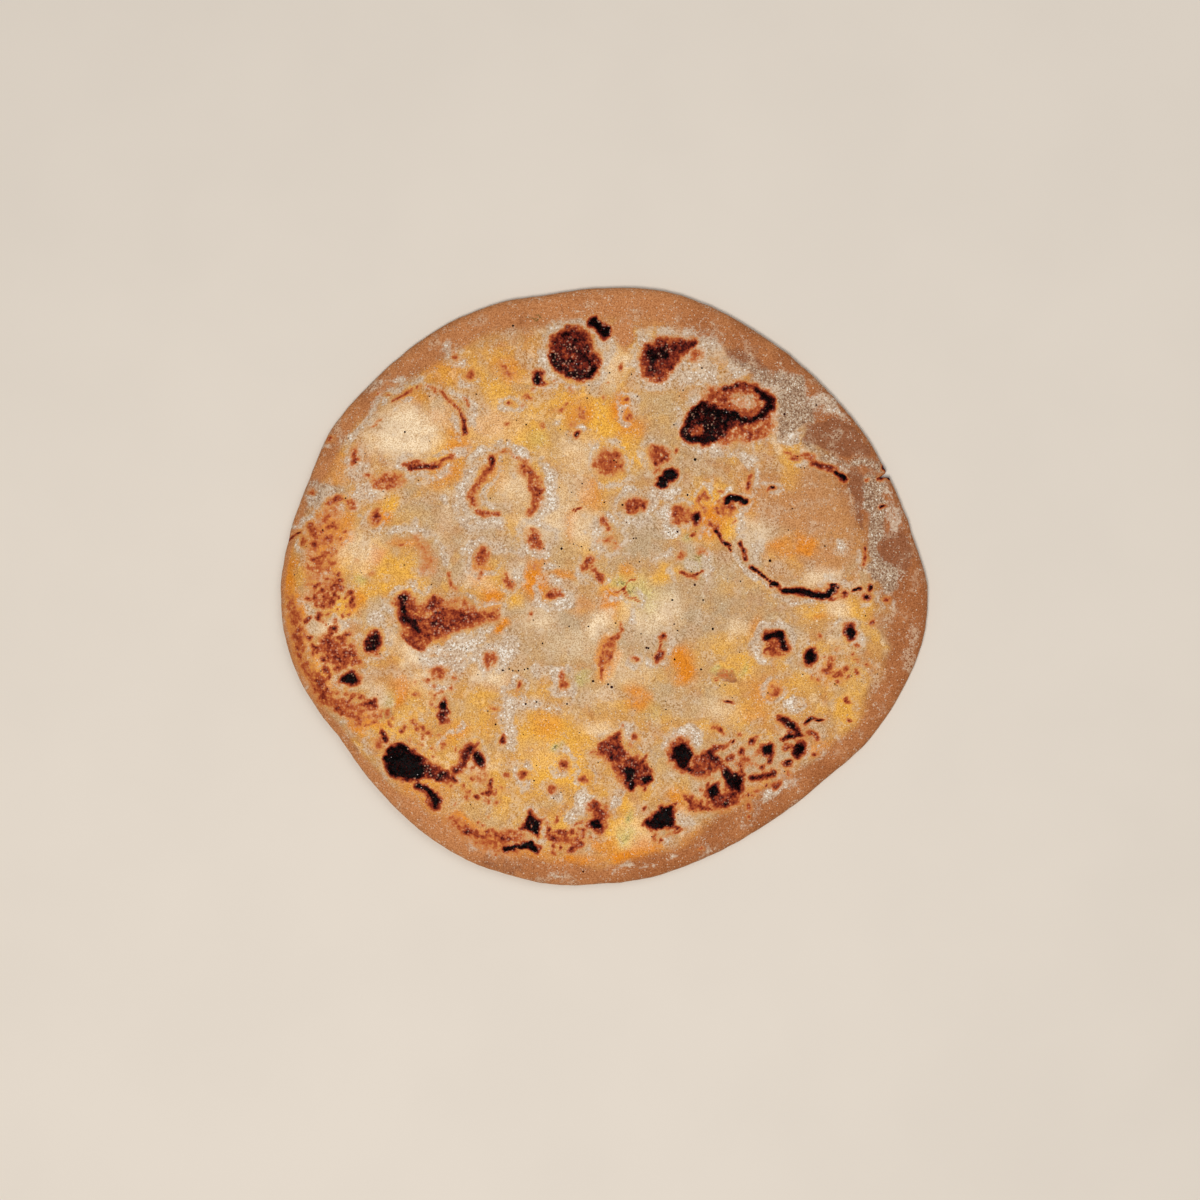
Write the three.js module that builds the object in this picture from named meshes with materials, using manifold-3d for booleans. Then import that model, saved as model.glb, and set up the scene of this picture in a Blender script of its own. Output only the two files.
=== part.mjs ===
// Stuffed paratha: one hand-rolled flatbread with its filling sealed inside, griddled and lying flat.
//
// Millimetres, +Z up. The origin is in the flat underside, under the middle of the bread. +X points to the side
// with the widest border of plain dough, where the edge has its small tear, and bearings turn from +X to +Y.
//
// The bread is uncut, so it is one solid. It is turned as a flat disc with a rounded edge, and then pulled out to
// the uneven hand-rolled outline and pushed up into the filled middle and its griddle blisters.
import * as THREE from "three";
import { mergeVertices } from "three/addons/utils/BufferGeometryUtils.js";
import Module from "manifold-3d";

const { degToRad, euclideanModulo, smoothstep } = THREE.MathUtils;

// Outline: the radius of the edge every 10 degrees, from bearing 0.
const RIM_RADII = [
  81.1, 78.4, 76.9, 75.8, 74.9, 74.6, 74.8, 75.6, 75.9, 75.3, 74.9, 76.1, // 0 to 110
  76.9, 77.3, 77.9, 79.0, 78.8, 79.9, 81.0, 80.9, 78.9, 76.2, 75.9, 76.2, // 120 to 230
  76.4, 76.0, 75.4, 74.2, 73.4, 72.4, 71.9, 72.3, 73.5, 76.6, 78.8, 80.9, // 240 to 350
];
const NOMINAL_RADIUS = 77; // of the plain disc, before it is pulled to the outline

// Thickness
const EDGE_THICKNESS = 3.6; // plain dough at the outline, above its rounded edge
const MIDDLE_THICKNESS = 6.4; // two skins with the filling between them
const BORDER_WIDTH = 8; // of the plain dough outside the filling, on average
const BORDER_SHIFT = 4; // how much wider it is at BORDER_BEARING, and narrower opposite
const BORDER_BEARING = degToRad(15);
const SWELL = 0.3; // height of the long, soft waves that the uneven filling makes

// Rounded edge: its widest line is at EDGE_LEVEL of the thickness.
const EDGE_LEVEL = 0.42;
const TOP_ROUND = 3.2; // how far in from the outline the upper round starts
const FOOT_ROUND = 1.8; // the same for the lower round, so the foot is this far inside the outline

// Blisters, where the upper skin puffed up: middle x, y, half length, half width, turn in degrees, rise.
const BLISTERS = [
  [-46, 40, 14, 11, 15, 1.3], // the large pale one
  [-24.5, 26.5, 10, 10, 0, 0.8], // the heart-shaped one
  [-51, 7, 14, 10, -10, 0.8],
  [48, 15, 20, 17, 20, 1.4], // the broad smooth one beside the tear
  [-7.5, 58.8, 8, 8, 0, 0.9],
  [15, 57.5, 9.5, 7, 25, 0.8],
  [31, 43.5, 13, 8.5, 22, 0.9],
  [-42, -7, 14, 8, -4, 0.7],
  [-50, -44, 8, 6, -20, 0.7],
  [4.5, -43, 10, 7, -45, 0.6],
  [19.5, -41.5, 4.5, 5.5, 0, 0.6],
  [31.5, -47, 6, 5, -50, 0.6],
  [14.5, -57, 6.5, 5, 15, 0.6],
  [42.5, -14, 6, 6, 0, 0.6],
  [1, 31, 6, 6, 0, 0.4],
  [7.5, 21.5, 5, 4, 0, 0.4],
];

// Tear in the edge: a narrow wedge through the whole thickness.
const TEAR_BEARING = degToRad(21.8);
const TEAR_MOUTH = 1.2;
const TEAR_DEPTH = 2.4;
const TEAR_LEAN = degToRad(24); // the tear runs in and turns away from the radius by this much

// Facets
const SECTORS = 108;
const TOP_RINGS = 19;
const FOOT_RINGS = 6;
const ROUND_STEPS = 4;

const DOUGH = new THREE.MeshStandardMaterial({ name: "dough", color: 0xc99a68, roughness: 0.62, metalness: 0 });

// Smooth closed curve through the rim radii: Catmull-Rom round the bearing.
function rimRadius(bearing) {
  const count = RIM_RADII.length;
  const place = (euclideanModulo(bearing, 2 * Math.PI) / (2 * Math.PI)) * count;
  const start = Math.floor(place);
  const [a, b, c, d] = [-1, 0, 1, 2].map((step) => RIM_RADII[euclideanModulo(start + step, count)]);
  const t = place - start;
  return b + 0.5 * t * (c - a + t * (2 * a - 5 * b + 4 * c - d + t * (3 * (b - c) + d - a)));
}

// Height of the upper skin over a point: the step from border to filled middle, soft waves, and blisters.
function topHeight(x, y) {
  const bearing = Math.atan2(y, x);
  const inset = rimRadius(bearing) - Math.hypot(x, y);
  const border = BORDER_WIDTH + BORDER_SHIFT * Math.cos(bearing - BORDER_BEARING);
  const filled = smoothstep(inset, 0, 1.6 * border);
  const waves = Math.sin(x / 11 + 1) * Math.cos(y / 13) + 0.6 * Math.sin((x + 1.4 * y) / 9);
  const base = EDGE_THICKNESS + (MIDDLE_THICKNESS - EDGE_THICKNESS) * filled + SWELL * waves * filled;
  return base + BLISTERS.reduce((sum, blister) => sum + blisterRise(x, y, blister), 0);
}

// A blister is a smooth dome over an ellipse.
function blisterRise(x, y, [middleX, middleY, halfLength, halfWidth, turn, rise]) {
  const [cos, sin] = [Math.cos(degToRad(turn)), Math.sin(degToRad(turn))];
  const along = ((x - middleX) * cos + (y - middleY) * sin) / halfLength;
  const across = ((y - middleY) * cos - (x - middleX) * sin) / halfWidth;
  return rise * (1 - smoothstep(Math.hypot(along, across), 0.3, 1.15));
}

// Half section of the plain disc, from the middle of the underside round the edge to the middle of the top.
// x is the radius in mm, and y the level: 0 at the underside, 1 at the upper skin.
function halfSection() {
  const section = [];
  const footRadius = NOMINAL_RADIUS - FOOT_ROUND;
  const topRadius = NOMINAL_RADIUS - TOP_ROUND;
  for (let i = 0; i < FOOT_RINGS; i++) section.push(new THREE.Vector2((footRadius * i) / FOOT_RINGS, 0));
  for (let i = 0; i < ROUND_STEPS; i++) {
    const angle = ((i / ROUND_STEPS) * Math.PI) / 2;
    section.push(new THREE.Vector2(footRadius + FOOT_ROUND * Math.sin(angle), EDGE_LEVEL * (1 - Math.cos(angle))));
  }
  for (let i = 0; i < ROUND_STEPS; i++) {
    const angle = ((i / ROUND_STEPS) * Math.PI) / 2;
    const level = EDGE_LEVEL + (1 - EDGE_LEVEL) * Math.sin(angle);
    section.push(new THREE.Vector2(topRadius + TOP_ROUND * Math.cos(angle), level));
  }
  for (let i = 0; i <= TOP_RINGS; i++) section.push(new THREE.Vector2(topRadius * (1 - i / TOP_RINGS), 1));
  return section;
}

// The disc with its foot flat at z = 0, pulled to the outline and raised to the upper skin.
function breadGeometry() {
  const geometry = new THREE.LatheGeometry(halfSection(), SECTORS).rotateX(Math.PI / 2);
  const position = geometry.getAttribute("position");
  for (let i = 0; i < position.count; i++) {
    const level = position.getZ(i);
    const stretch = rimRadius(Math.atan2(position.getY(i), position.getX(i))) / NOMINAL_RADIUS;
    const x = position.getX(i) * stretch;
    const y = position.getY(i) * stretch;
    position.setXYZ(i, x, y, level * topHeight(x, y));
  }
  return geometry;
}

// The wedge that opens the tear: a triangle with its mouth outside the edge, drawn out through the bread.
function tearGeometry() {
  const outside = 2 * TEAR_DEPTH; // the wedge starts this far outside the edge
  const mouth = (TEAR_MOUTH / 2) * (1 + outside / TEAR_DEPTH);
  const wedge = new THREE.Shape([
    new THREE.Vector2(-TEAR_DEPTH, 0),
    new THREE.Vector2(outside, -mouth),
    new THREE.Vector2(outside, mouth),
  ]);
  const radius = rimRadius(TEAR_BEARING);
  return new THREE.ExtrudeGeometry(wedge, { depth: 4 * EDGE_THICKNESS, bevelEnabled: false, steps: 1 })
    .rotateZ(TEAR_BEARING + TEAR_LEAN)
    .translate(radius * Math.cos(TEAR_BEARING), radius * Math.sin(TEAR_BEARING), -EDGE_THICKNESS);
}

// A closed geometry as a manifold-3d solid.
function solidOf(wasm, geometry) {
  geometry.deleteAttribute("normal");
  geometry.deleteAttribute("uv");
  const merged = mergeVertices(geometry);
  const vertProperties = new Float32Array(merged.getAttribute("position").array);
  return new wasm.Manifold(
    new wasm.Mesh({ numProp: 3, vertProperties, triVerts: new Uint32Array(merged.index.array) }),
  );
}

// A manifold-3d solid as a geometry to draw.
function geometryOf(solid) {
  const { vertProperties, triVerts } = solid.getMesh();
  const geometry = new THREE.BufferGeometry();
  geometry.setAttribute("position", new THREE.BufferAttribute(new Float32Array(vertProperties), 3));
  geometry.setIndex(new THREE.BufferAttribute(new Uint32Array(triVerts), 1));
  geometry.computeVertexNormals();
  return geometry;
}

const wasm = await Module();
wasm.setup();

const torn = solidOf(wasm, breadGeometry()).subtract(solidOf(wasm, tearGeometry()));
const bread = new THREE.Mesh(geometryOf(torn), DOUGH);
bread.name = "paratha";

const paratha = new THREE.Group();
paratha.add(bread);

export default paratha;
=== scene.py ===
"""Stuffed paratha: a griddled flatbread with its filling sealed inside, its scorches, flour and crumbs.

The bread replaces the plain CAD solid. Its outline is read from that solid, and its upper skin follows the
same height formula, with finer relief added. Scorches, flour and the filling that shows through the skin are
brushed on as soft spots, lines and patches, each an attribute of the mesh that the dough turns into colour.
"""

import math

import bpy
import numpy as np
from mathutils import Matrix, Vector


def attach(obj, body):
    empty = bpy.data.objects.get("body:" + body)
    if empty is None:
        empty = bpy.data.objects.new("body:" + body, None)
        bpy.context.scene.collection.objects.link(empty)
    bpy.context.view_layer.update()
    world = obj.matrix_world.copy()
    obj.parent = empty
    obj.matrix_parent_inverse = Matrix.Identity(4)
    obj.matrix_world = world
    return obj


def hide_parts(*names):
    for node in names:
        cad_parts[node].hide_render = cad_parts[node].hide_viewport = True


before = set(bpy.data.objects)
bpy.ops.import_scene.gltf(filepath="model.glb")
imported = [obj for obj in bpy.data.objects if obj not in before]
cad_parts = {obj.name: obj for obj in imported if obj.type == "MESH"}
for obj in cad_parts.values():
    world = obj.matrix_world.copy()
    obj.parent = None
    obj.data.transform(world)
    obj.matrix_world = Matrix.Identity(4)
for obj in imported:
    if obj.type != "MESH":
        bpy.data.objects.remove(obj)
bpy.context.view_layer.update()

bl_info = {
    "name": "Stuffed paratha",
    "version": (1, 0, 0),
    "blender": (4, 5, 0),
    "location": "3D View > Sidebar > Paratha",
    "description": "Makes a griddled stuffed flatbread with its scorches, loose flour and burnt crumbs",
    "category": "Add Mesh",
}

NODE = "paratha"
MM = 0.001  # shapes are worked out in millimetres and scaled to metres when their mesh is made

# Blisters of the upper skin, in mm: middle x, y, half length, half width, turn in degrees, rise.
BLISTERS = (
    (-46, 40, 14, 11, 15, 1.3), (-24.5, 26.5, 10, 10, 0, 0.8), (-51, 7, 14, 10, -10, 0.8),
    (48, 15, 20, 17, 20, 1.4), (-7.5, 58.8, 8, 8, 0, 0.9), (15, 57.5, 9.5, 7, 25, 0.8),
    (31, 43.5, 13, 8.5, 22, 0.9), (-42, -7, 14, 8, -4, 0.7), (-50, -44, 8, 6, -20, 0.7),
    (4.5, -43, 10, 7, -45, 0.6), (19.5, -41.5, 4.5, 5.5, 0, 0.6), (31.5, -47, 6, 5, -50, 0.6),
    (14.5, -57, 6.5, 5, 15, 0.6), (42.5, -14, 6, 6, 0, 0.6), (1, 31, 6, 6, 0, 0.4),
    (7.5, 21.5, 5, 4, 0, 0.4),
)

# The marks below are brushed on, in mm, with their strength in percent.
# A spot is (x, y, half length, half width, turn in degrees, strength).
# A line is (width, strength, x, y, x, y, ...), and a patch is (strength, x, y, x, y, ...).

# Toast: 13 is amber, 34 rust, 58 dark, 80 maroon and 98 black.
TOAST_SPOTS = (
    # upper part
    (-61.9, 31.3, 1.4, 1, 60, 45), (-62, 33.5, 1.8, 0.7, 88, 42), (-54, 26.6, 4.2, 2.2, 5, 36),
    (-58.9, 28, 0.9, 0.8, 0, 42), (-37, 57.6, 1.4, 0.8, -30, 38), (-68.5, 37.3, 1, 0.8, 0, 45),
    (-57, 48.6, 0.4, 0.3, 0, 70), (-54, 48.2, 0.5, 0.3, -30, 60), (-33.2, 53, 1, 1, 0, 50),
    (-24.8, 55.3, 1, 0.8, 0, 36), (-23.5, 53.6, 1.6, 1, -40, 30), (0.8, 65.1, 0.8, 0.6, 0, 110),
    (-16.3, 52.2, 2.1, 1.3, 100, 110), (-15, 51.2, 0.8, 0.5, -20, 75), (13.1, 58, 4, 2.4, 14, 95),
    (4.4, 55.3, 1.2, 0.5, 88, 42), (5.8, 46.8, 0.9, 0.8, 0, 50), (5.9, 42.8, 0.9, 0.9, 0, 55),
    (-9.2, 45.9, 0.5, 0.3, 0, 50), (-10.2, 44.4, 1, 0.5, 55, 45), (-23, 45.6, 0.9, 0.5, 0, 50),
    (-19, 47.2, 1.2, 0.7, -50, 36), (-15, 40.4, 0.8, 0.7, 0, 40), (-24, 40.5, 0.8, 0.6, 0, 38),
    (-6.6, 38.3, 0.6, 0.5, 0, 140), (1.2, 31.2, 4.2, 3.6, 30, 34), (1, 31.8, 1, 0.7, 0, 48),
    (4, 30.8, 1.2, 0.6, 0, 45), (13.5, 33.2, 2.8, 2.2, -20, 45), (12.6, 34.8, 1.2, 0.8, 0, 60),
    (12.9, 31.6, 1, 0.7, 45, 62), (15.4, 32.8, 1, 0.7, 30, 62), (17.6, 34, 0.8, 0.4, 60, 55),
    (13.6, 29.8, 1.4, 0.9, 90, 40), (16.3, 28, 1.9, 1.3, 50, 140), (14.7, 26.6, 1.6, 1, 15, 140),
    (30, 40.4, 2.6, 2.2, 10, 85), (29.2, 39.8, 0.9, 1, 0, 110), (33, 40.6, 2.2, 1, -10, 66),
    (36.5, 38.3, 5.5, 1.6, 8, 40), (41, 40.5, 1.5, 1.3, 0, 45), (70, 30.1, 0.9, 0.5, -50, 140),
    (66, 26.8, 0.6, 0.5, 0, 50), (36.1, 25.2, 1.3, 0.7, 80, 75), (36.5, 27.5, 0.9, 0.6, 60, 50),
    (22.6, 58, 2.6, 1.8, 20, 34),
    # middle
    (-66.8, 22, 2.2, 1.1, 10, 50), (-68.8, 21, 1, 0.6, 20, 45), (-63.2, 21, 1.8, 0.9, -30, 42),
    (-69.5, 17.5, 1.6, 1.2, 60, 38), (-68, 15.3, 1.7, 0.7, 15, 45), (-72.5, 15, 1.3, 1.2, -20, 50),
    (-71, 14.3, 0.9, 0.4, 0, 55), (-68.5, 12.3, 1.8, 1.6, 0, 42), (-71.5, 10.7, 1.7, 1.2, 10, 50),
    (-74.8, 11, 1.4, 0.6, 90, 45), (-70.6, 7, 1.6, 0.9, 65, 60), (-67.2, 8.5, 1.5, 0.9, 45, 40),
    (-69, 7, 0.8, 0.6, 0, 45), (-67.3, 5.8, 1.2, 0.6, 0, 35), (-71.8, 4.5, 1.6, 0.6, 5, 42),
    (-65.8, 3.1, 1.2, 0.6, 40, 50), (-68.9, 2.2, 0.7, 0.5, 0, 50), (-63.5, -1.7, 1.6, 0.8, 35, 55),
    (-64.7, -2.8, 0.7, 0.5, 40, 60), (-72, -2, 1.1, 0.8, 0, 45), (-68.3, -3.3, 1.2, 0.7, 50, 50),
    (-70.8, -4.4, 1.3, 0.7, 10, 55), (-62.2, -4, 1.2, 0.8, 40, 38), (-63.5, -6.3, 1.2, 0.6, 5, 42),
    (-74, -7.8, 0.8, 0.5, 0, 72), (-71.8, -8, 0.8, 0.8, 0, 80), (-69, -6.7, 0.8, 0.4, 40, 42),
    (-71.2, -14.8, 0.9, 0.5, -60, 72), (-68.5, -13.3, 1.5, 0.9, -40, 72), (-68.7, -15.3, 1.2, 0.6, 80, 72),
    (-66.2, -19.8, 1.3, 0.7, 20, 68), (-61.3, -18.8, 1.3, 0.7, -10, 50), (-57.5, -13.7, 3.1, 2.4, 80, 92),
    (-57.5, -16.8, 1.5, 0.6, -20, 55), (-63.3, -22.8, 2, 1.4, 15, 140), (-72.3, -16, 1.5, 0.5, 80, 40),
    (-56.7, 17.6, 2, 1.4, 55, 55), (-50, 11, 0.8, 0.5, 0, 40), (-58, 3.6, 1.2, 0.5, 10, 28),
    (-42, -8.5, 0.9, 0.6, 0, 78), (-41, -21.3, 2.6, 1.6, 5, 40), (-71.5, -23, 2.4, 1.3, 60, 50),
    (-30.5, 7.5, 3, 2, 80, 46), (-17.3, 11.8, 3, 2, -55, 43), (-18, 12.3, 1.3, 0.8, 60, 58),
    (7.7, 20.8, 2.9, 1.9, 0, 46), (0.8, 15.8, 2.6, 1.1, -60, 40), (-3.9, 6, 2, 1.6, 50, 55),
    (-1.3, 3, 2, 1.2, -55, 52), (-13.2, -1.6, 1.3, 1.2, 0, 60), (-11.8, -1.2, 1.2, 1, 0, 38),
    (-23.7, 1.6, 2.4, 1.2, -60, 40), (-16.5, 5.3, 1, 0.8, 0, 33), (18.9, 18.3, 2.3, 1.9, 60, 50),
    (19, 8.3, 1.8, 0.7, 60, 33), (4.2, -9.7, 1.4, 0.6, -50, 55), (2.9, -12.2, 1.4, 1, 40, 55),
    (0.8, -16.5, 3.4, 1.9, 70, 33), (1.6, -17.8, 0.8, 0.5, 60, 45), (14.7, -12.6, 0.9, 0.9, 0, 66),
    (14.3, -14.5, 0.9, 0.4, 80, 50), (14, -17, 1.4, 1, 60, 74), (8.2, -17.7, 1, 0.4, 10, 42),
    (-10.3, -23, 2.6, 1.4, -80, 40), (-21.3, -24.7, 1.3, 0.5, 65, 45), (-28.5, -17.8, 2, 1.4, 80, 41),
    (-18.2, -6.7, 0.6, 0.3, 60, 70), (69.8, 20.4, 0.5, 0.35, 0, 140), (41.3, 24.7, 0.7, 0.4, 0, 110),
    (31.3, 19.7, 1.3, 0.9, -20, 50), (30.2, 19.2, 2.6, 1.9, -20, 30), (22.7, 16.7, 1.7, 1.2, -70, 110),
    (20.8, 17.5, 3, 2, 0, 33), (24.5, 22.3, 1.7, 0.7, 60, 55), (21.7, 13, 0.8, 0.5, 40, 50),
    (22.6, 13.8, 2.4, 1.6, 0, 20), (24.5, 9, 1.6, 1.3, 0, 20), (59.8, -1.3, 0.9, 0.8, 0, 80),
    (57, -2.3, 1, 0.4, 0, 70), (66, 0.2, 0.8, 0.45, -60, 140), (65.6, -2.2, 0.8, 0.7, 0, 110),
    (70.6, -3.3, 0.6, 0.3, -55, 80), (43, -14.8, 3.2, 2.6, 0, 40), (51.4, -17, 1.9, 1.5, 90, 140),
    (55.8, -18.9, 1, 0.7, 30, 72), (55, -20.5, 1, 0.8, 0, 50), (57, -21.2, 0.8, 0.7, -30, 78),
    (57.8, -22.8, 0.5, 0.4, 0, 50), (61.4, -10.6, 2.2, 1.5, -60, 140), (61.3, -12.5, 1, 0.9, 0, 75),
    (66.7, -8.7, 0.8, 0.7, 0, 62), (63, -14.3, 0.5, 0.5, 0, 40), (62.5, -16.5, 0.6, 0.5, 0, 42),
    (63.3, -18, 0.5, 0.4, 0, 45), (65.2, -19.2, 0.5, 0.4, 0, 42), (60.7, -21.5, 0.9, 0.4, 30, 42),
    (30.5, -21.5, 2.4, 1.6, 0, 26), (28, -23.2, 0.5, 0.4, 0, 80),
    # lower part
    (-47.5, -26.8, 0.7, 0.6, 0, 35), (-70, -27.5, 2, 1.2, 45, 50), (-72.2, -25.7, 1.2, 0.8, 60, 55),
    (-64.7, -28.3, 1, 0.8, 0, 68), (-58.5, -28.7, 1.4, 1, 30, 75), (-60.3, -29.4, 0.8, 0.5, 0, 50),
    (-66, -30.3, 1, 0.6, 0, 42), (-65.8, -32, 0.7, 0.5, 45, 60), (-64, -32.5, 1, 0.4, 0, 45),
    (-61, -32.9, 1.5, 0.9, 70, 52), (-57, -32, 2.8, 2.2, 0, 25), (-54, -31.2, 1.2, 0.8, 50, 33),
    (-53, -33.8, 1.1, 0.5, -40, 40), (-54.5, -36.8, 1.5, 0.8, -60, 110), (-56.5, -38.2, 1.2, 1, 0, 42),
    (-56.5, -39.6, 1.2, 0.6, 0, 45), (-36.8, -48.4, 0.8, 0.6, 0, 75), (-36.3, -45, 1.4, 1, 20, 66),
    (-37.3, -46.8, 0.7, 0.6, 0, 60), (-40, -29.2, 1.7, 1.1, 80, 140), (-40.2, -31.6, 2.6, 1.5, 85, 85),
    (-39.3, -33.5, 1.3, 0.9, 80, 42), (-41.8, -29.8, 0.6, 0.4, 0, 50), (-43.8, -36.7, 1.1, 1.2, 0, 42),
    (-43, -53, 1.2, 0.8, 0, 45), (-31, -46.6, 2.6, 1.8, 0, 26), (-31, -42.4, 2.4, 1.1, -62, 120),
    (-33, -40.6, 2.2, 1.8, 20, 78), (-31.4, -51.6, 0.6, 0.6, 0, 72), (-30, -50.9, 0.5, 0.5, 0, 60),
    (-28.5, -51, 0.9, 0.6, -20, 75), (-28, -48.5, 0.7, 0.6, 0, 68), (-31, -62.2, 1.5, 1, -20, 70),
    (-34.8, -59.6, 0.5, 0.3, 0, 60), (-26.5, -53.8, 0.8, 0.6, 0, 33), (-25, -37.8, 0.9, 0.8, 90, 75),
    (-27.5, -29.9, 1.2, 0.6, -20, 42), (-20.2, -46.5, 1.6, 1.3, 0, 42), (-10, -44.1, 1.5, 1.2, 90, 46),
    (-5.2, -47.4, 1.3, 1.2, 0, 40), (-13.4, -50.4, 1.2, 1.1, 0, 42), (3.3, -37, 1.6, 1, 80, 72),
    (0.3, -39.4, 3, 1.5, 20, 62), (4.5, -41.5, 2.2, 1.5, -60, 65), (6.2, -46.3, 2, 1.4, -60, 140),
    (7, -49, 1.6, 0.8, -80, 110), (10.1, -48, 1.3, 1.2, 0, 140), (8.5, -43, 1.8, 1, 0, 55),
    (10.8, -45.5, 1.2, 0.8, 90, 66), (19.3, -41.5, 4, 3.2, 90, 50), (19.6, -41.9, 3.2, 2.4, 90, 150),
    (-23.7, -62.6, 1.9, 0.6, 15, 78), (-22.5, -61.8, 3.4, 1.6, -10, 38), (-27.3, -63.4, 0.8, 0.6, 0, 60),
    (-12, -62.5, 1.7, 0.9, -10, 75), (-9.5, -61.8, 0.9, 0.4, 50, 50), (-8.3, -64.8, 1.3, 0.7, 30, 66),
    (-6.9, -63.8, 0.6, 0.6, 0, 62), (-13.3, -61.3, 0.6, 0.4, 0, 50), (-2.7, -54.3, 1.8, 1.6, 0, 60),
    (0, -57, 2.6, 1.5, 90, 52), (-6, -58.6, 1.6, 0.6, 15, 45), (-1.8, -59, 2, 1.2, 20, 140),
    (-1.2, -60.8, 1.4, 0.9, 0, 66), (-3.6, -59.3, 1, 0.7, 0, 70), (18, -59.6, 1.3, 0.5, -10, 75),
    (17.6, -54, 0.6, 0.4, 60, 60), (12.8, -61.6, 0.9, 0.6, 85, 60), (14, -63, 0.7, 0.4, 50, 50),
    (17.5, -61.1, 2, 0.5, 15, 55), (-11.6, -57.2, 1.1, 0.4, 60, 45), (42.7, -25.6, 1.6, 1.3, 0, 40),
    (60.7, -27.8, 1.1, 0.4, -50, 70), (31.4, -28.2, 0.8, 0.3, -5, 110), (35, -43.5, 3, 2, 0, 28),
    (20.3, -52, 1, 0.5, -50, 62), (21.6, -53.3, 1.3, 0.9, -50, 75), (24.7, -53.6, 0.9, 0.8, 90, 62),
    (25.8, -55.3, 1.4, 0.5, -10, 66), (27.3, -51, 1.6, 1.2, 10, 140), (28, -50.5, 1.6, 1.2, 0, 110),
    (31.5, -51.5, 1.3, 1, 0, 75), (31.7, -42.5, 1.4, 0.7, 20, 66), (34.4, -41, 1.1, 0.7, 50, 70),
    (40.8, -40.6, 1.6, 1.5, 0, 140), (48.7, -40.6, 2.2, 1.5, 85, 140), (45.8, -43.8, 1.2, 1.2, 0, 120),
    (52, -36.4, 1.3, 1.1, -30, 80), (52.8, -37.8, 0.8, 0.6, 0, 60), (36.8, -38.4, 1.5, 0.9, 35, 74),
    (38, -37.4, 0.9, 0.5, 40, 60), (33.5, -36.7, 0.8, 0.7, 0, 50), (31.3, -38.4, 0.5, 0.3, 10, 110),
    (28.6, -35.3, 1.3, 0.6, -20, 50), (36.7, -47.3, 0.9, 0.6, 0, 50), (42.8, -49.2, 1.3, 0.9, 10, 72),
    (61.3, -33, 0.8, 0.3, 0, 60), (36.2, -57.5, 0.5, 0.3, 60, 60), (23.7, -65.7, 0.4, 0.3, 0, 110),
)
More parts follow.
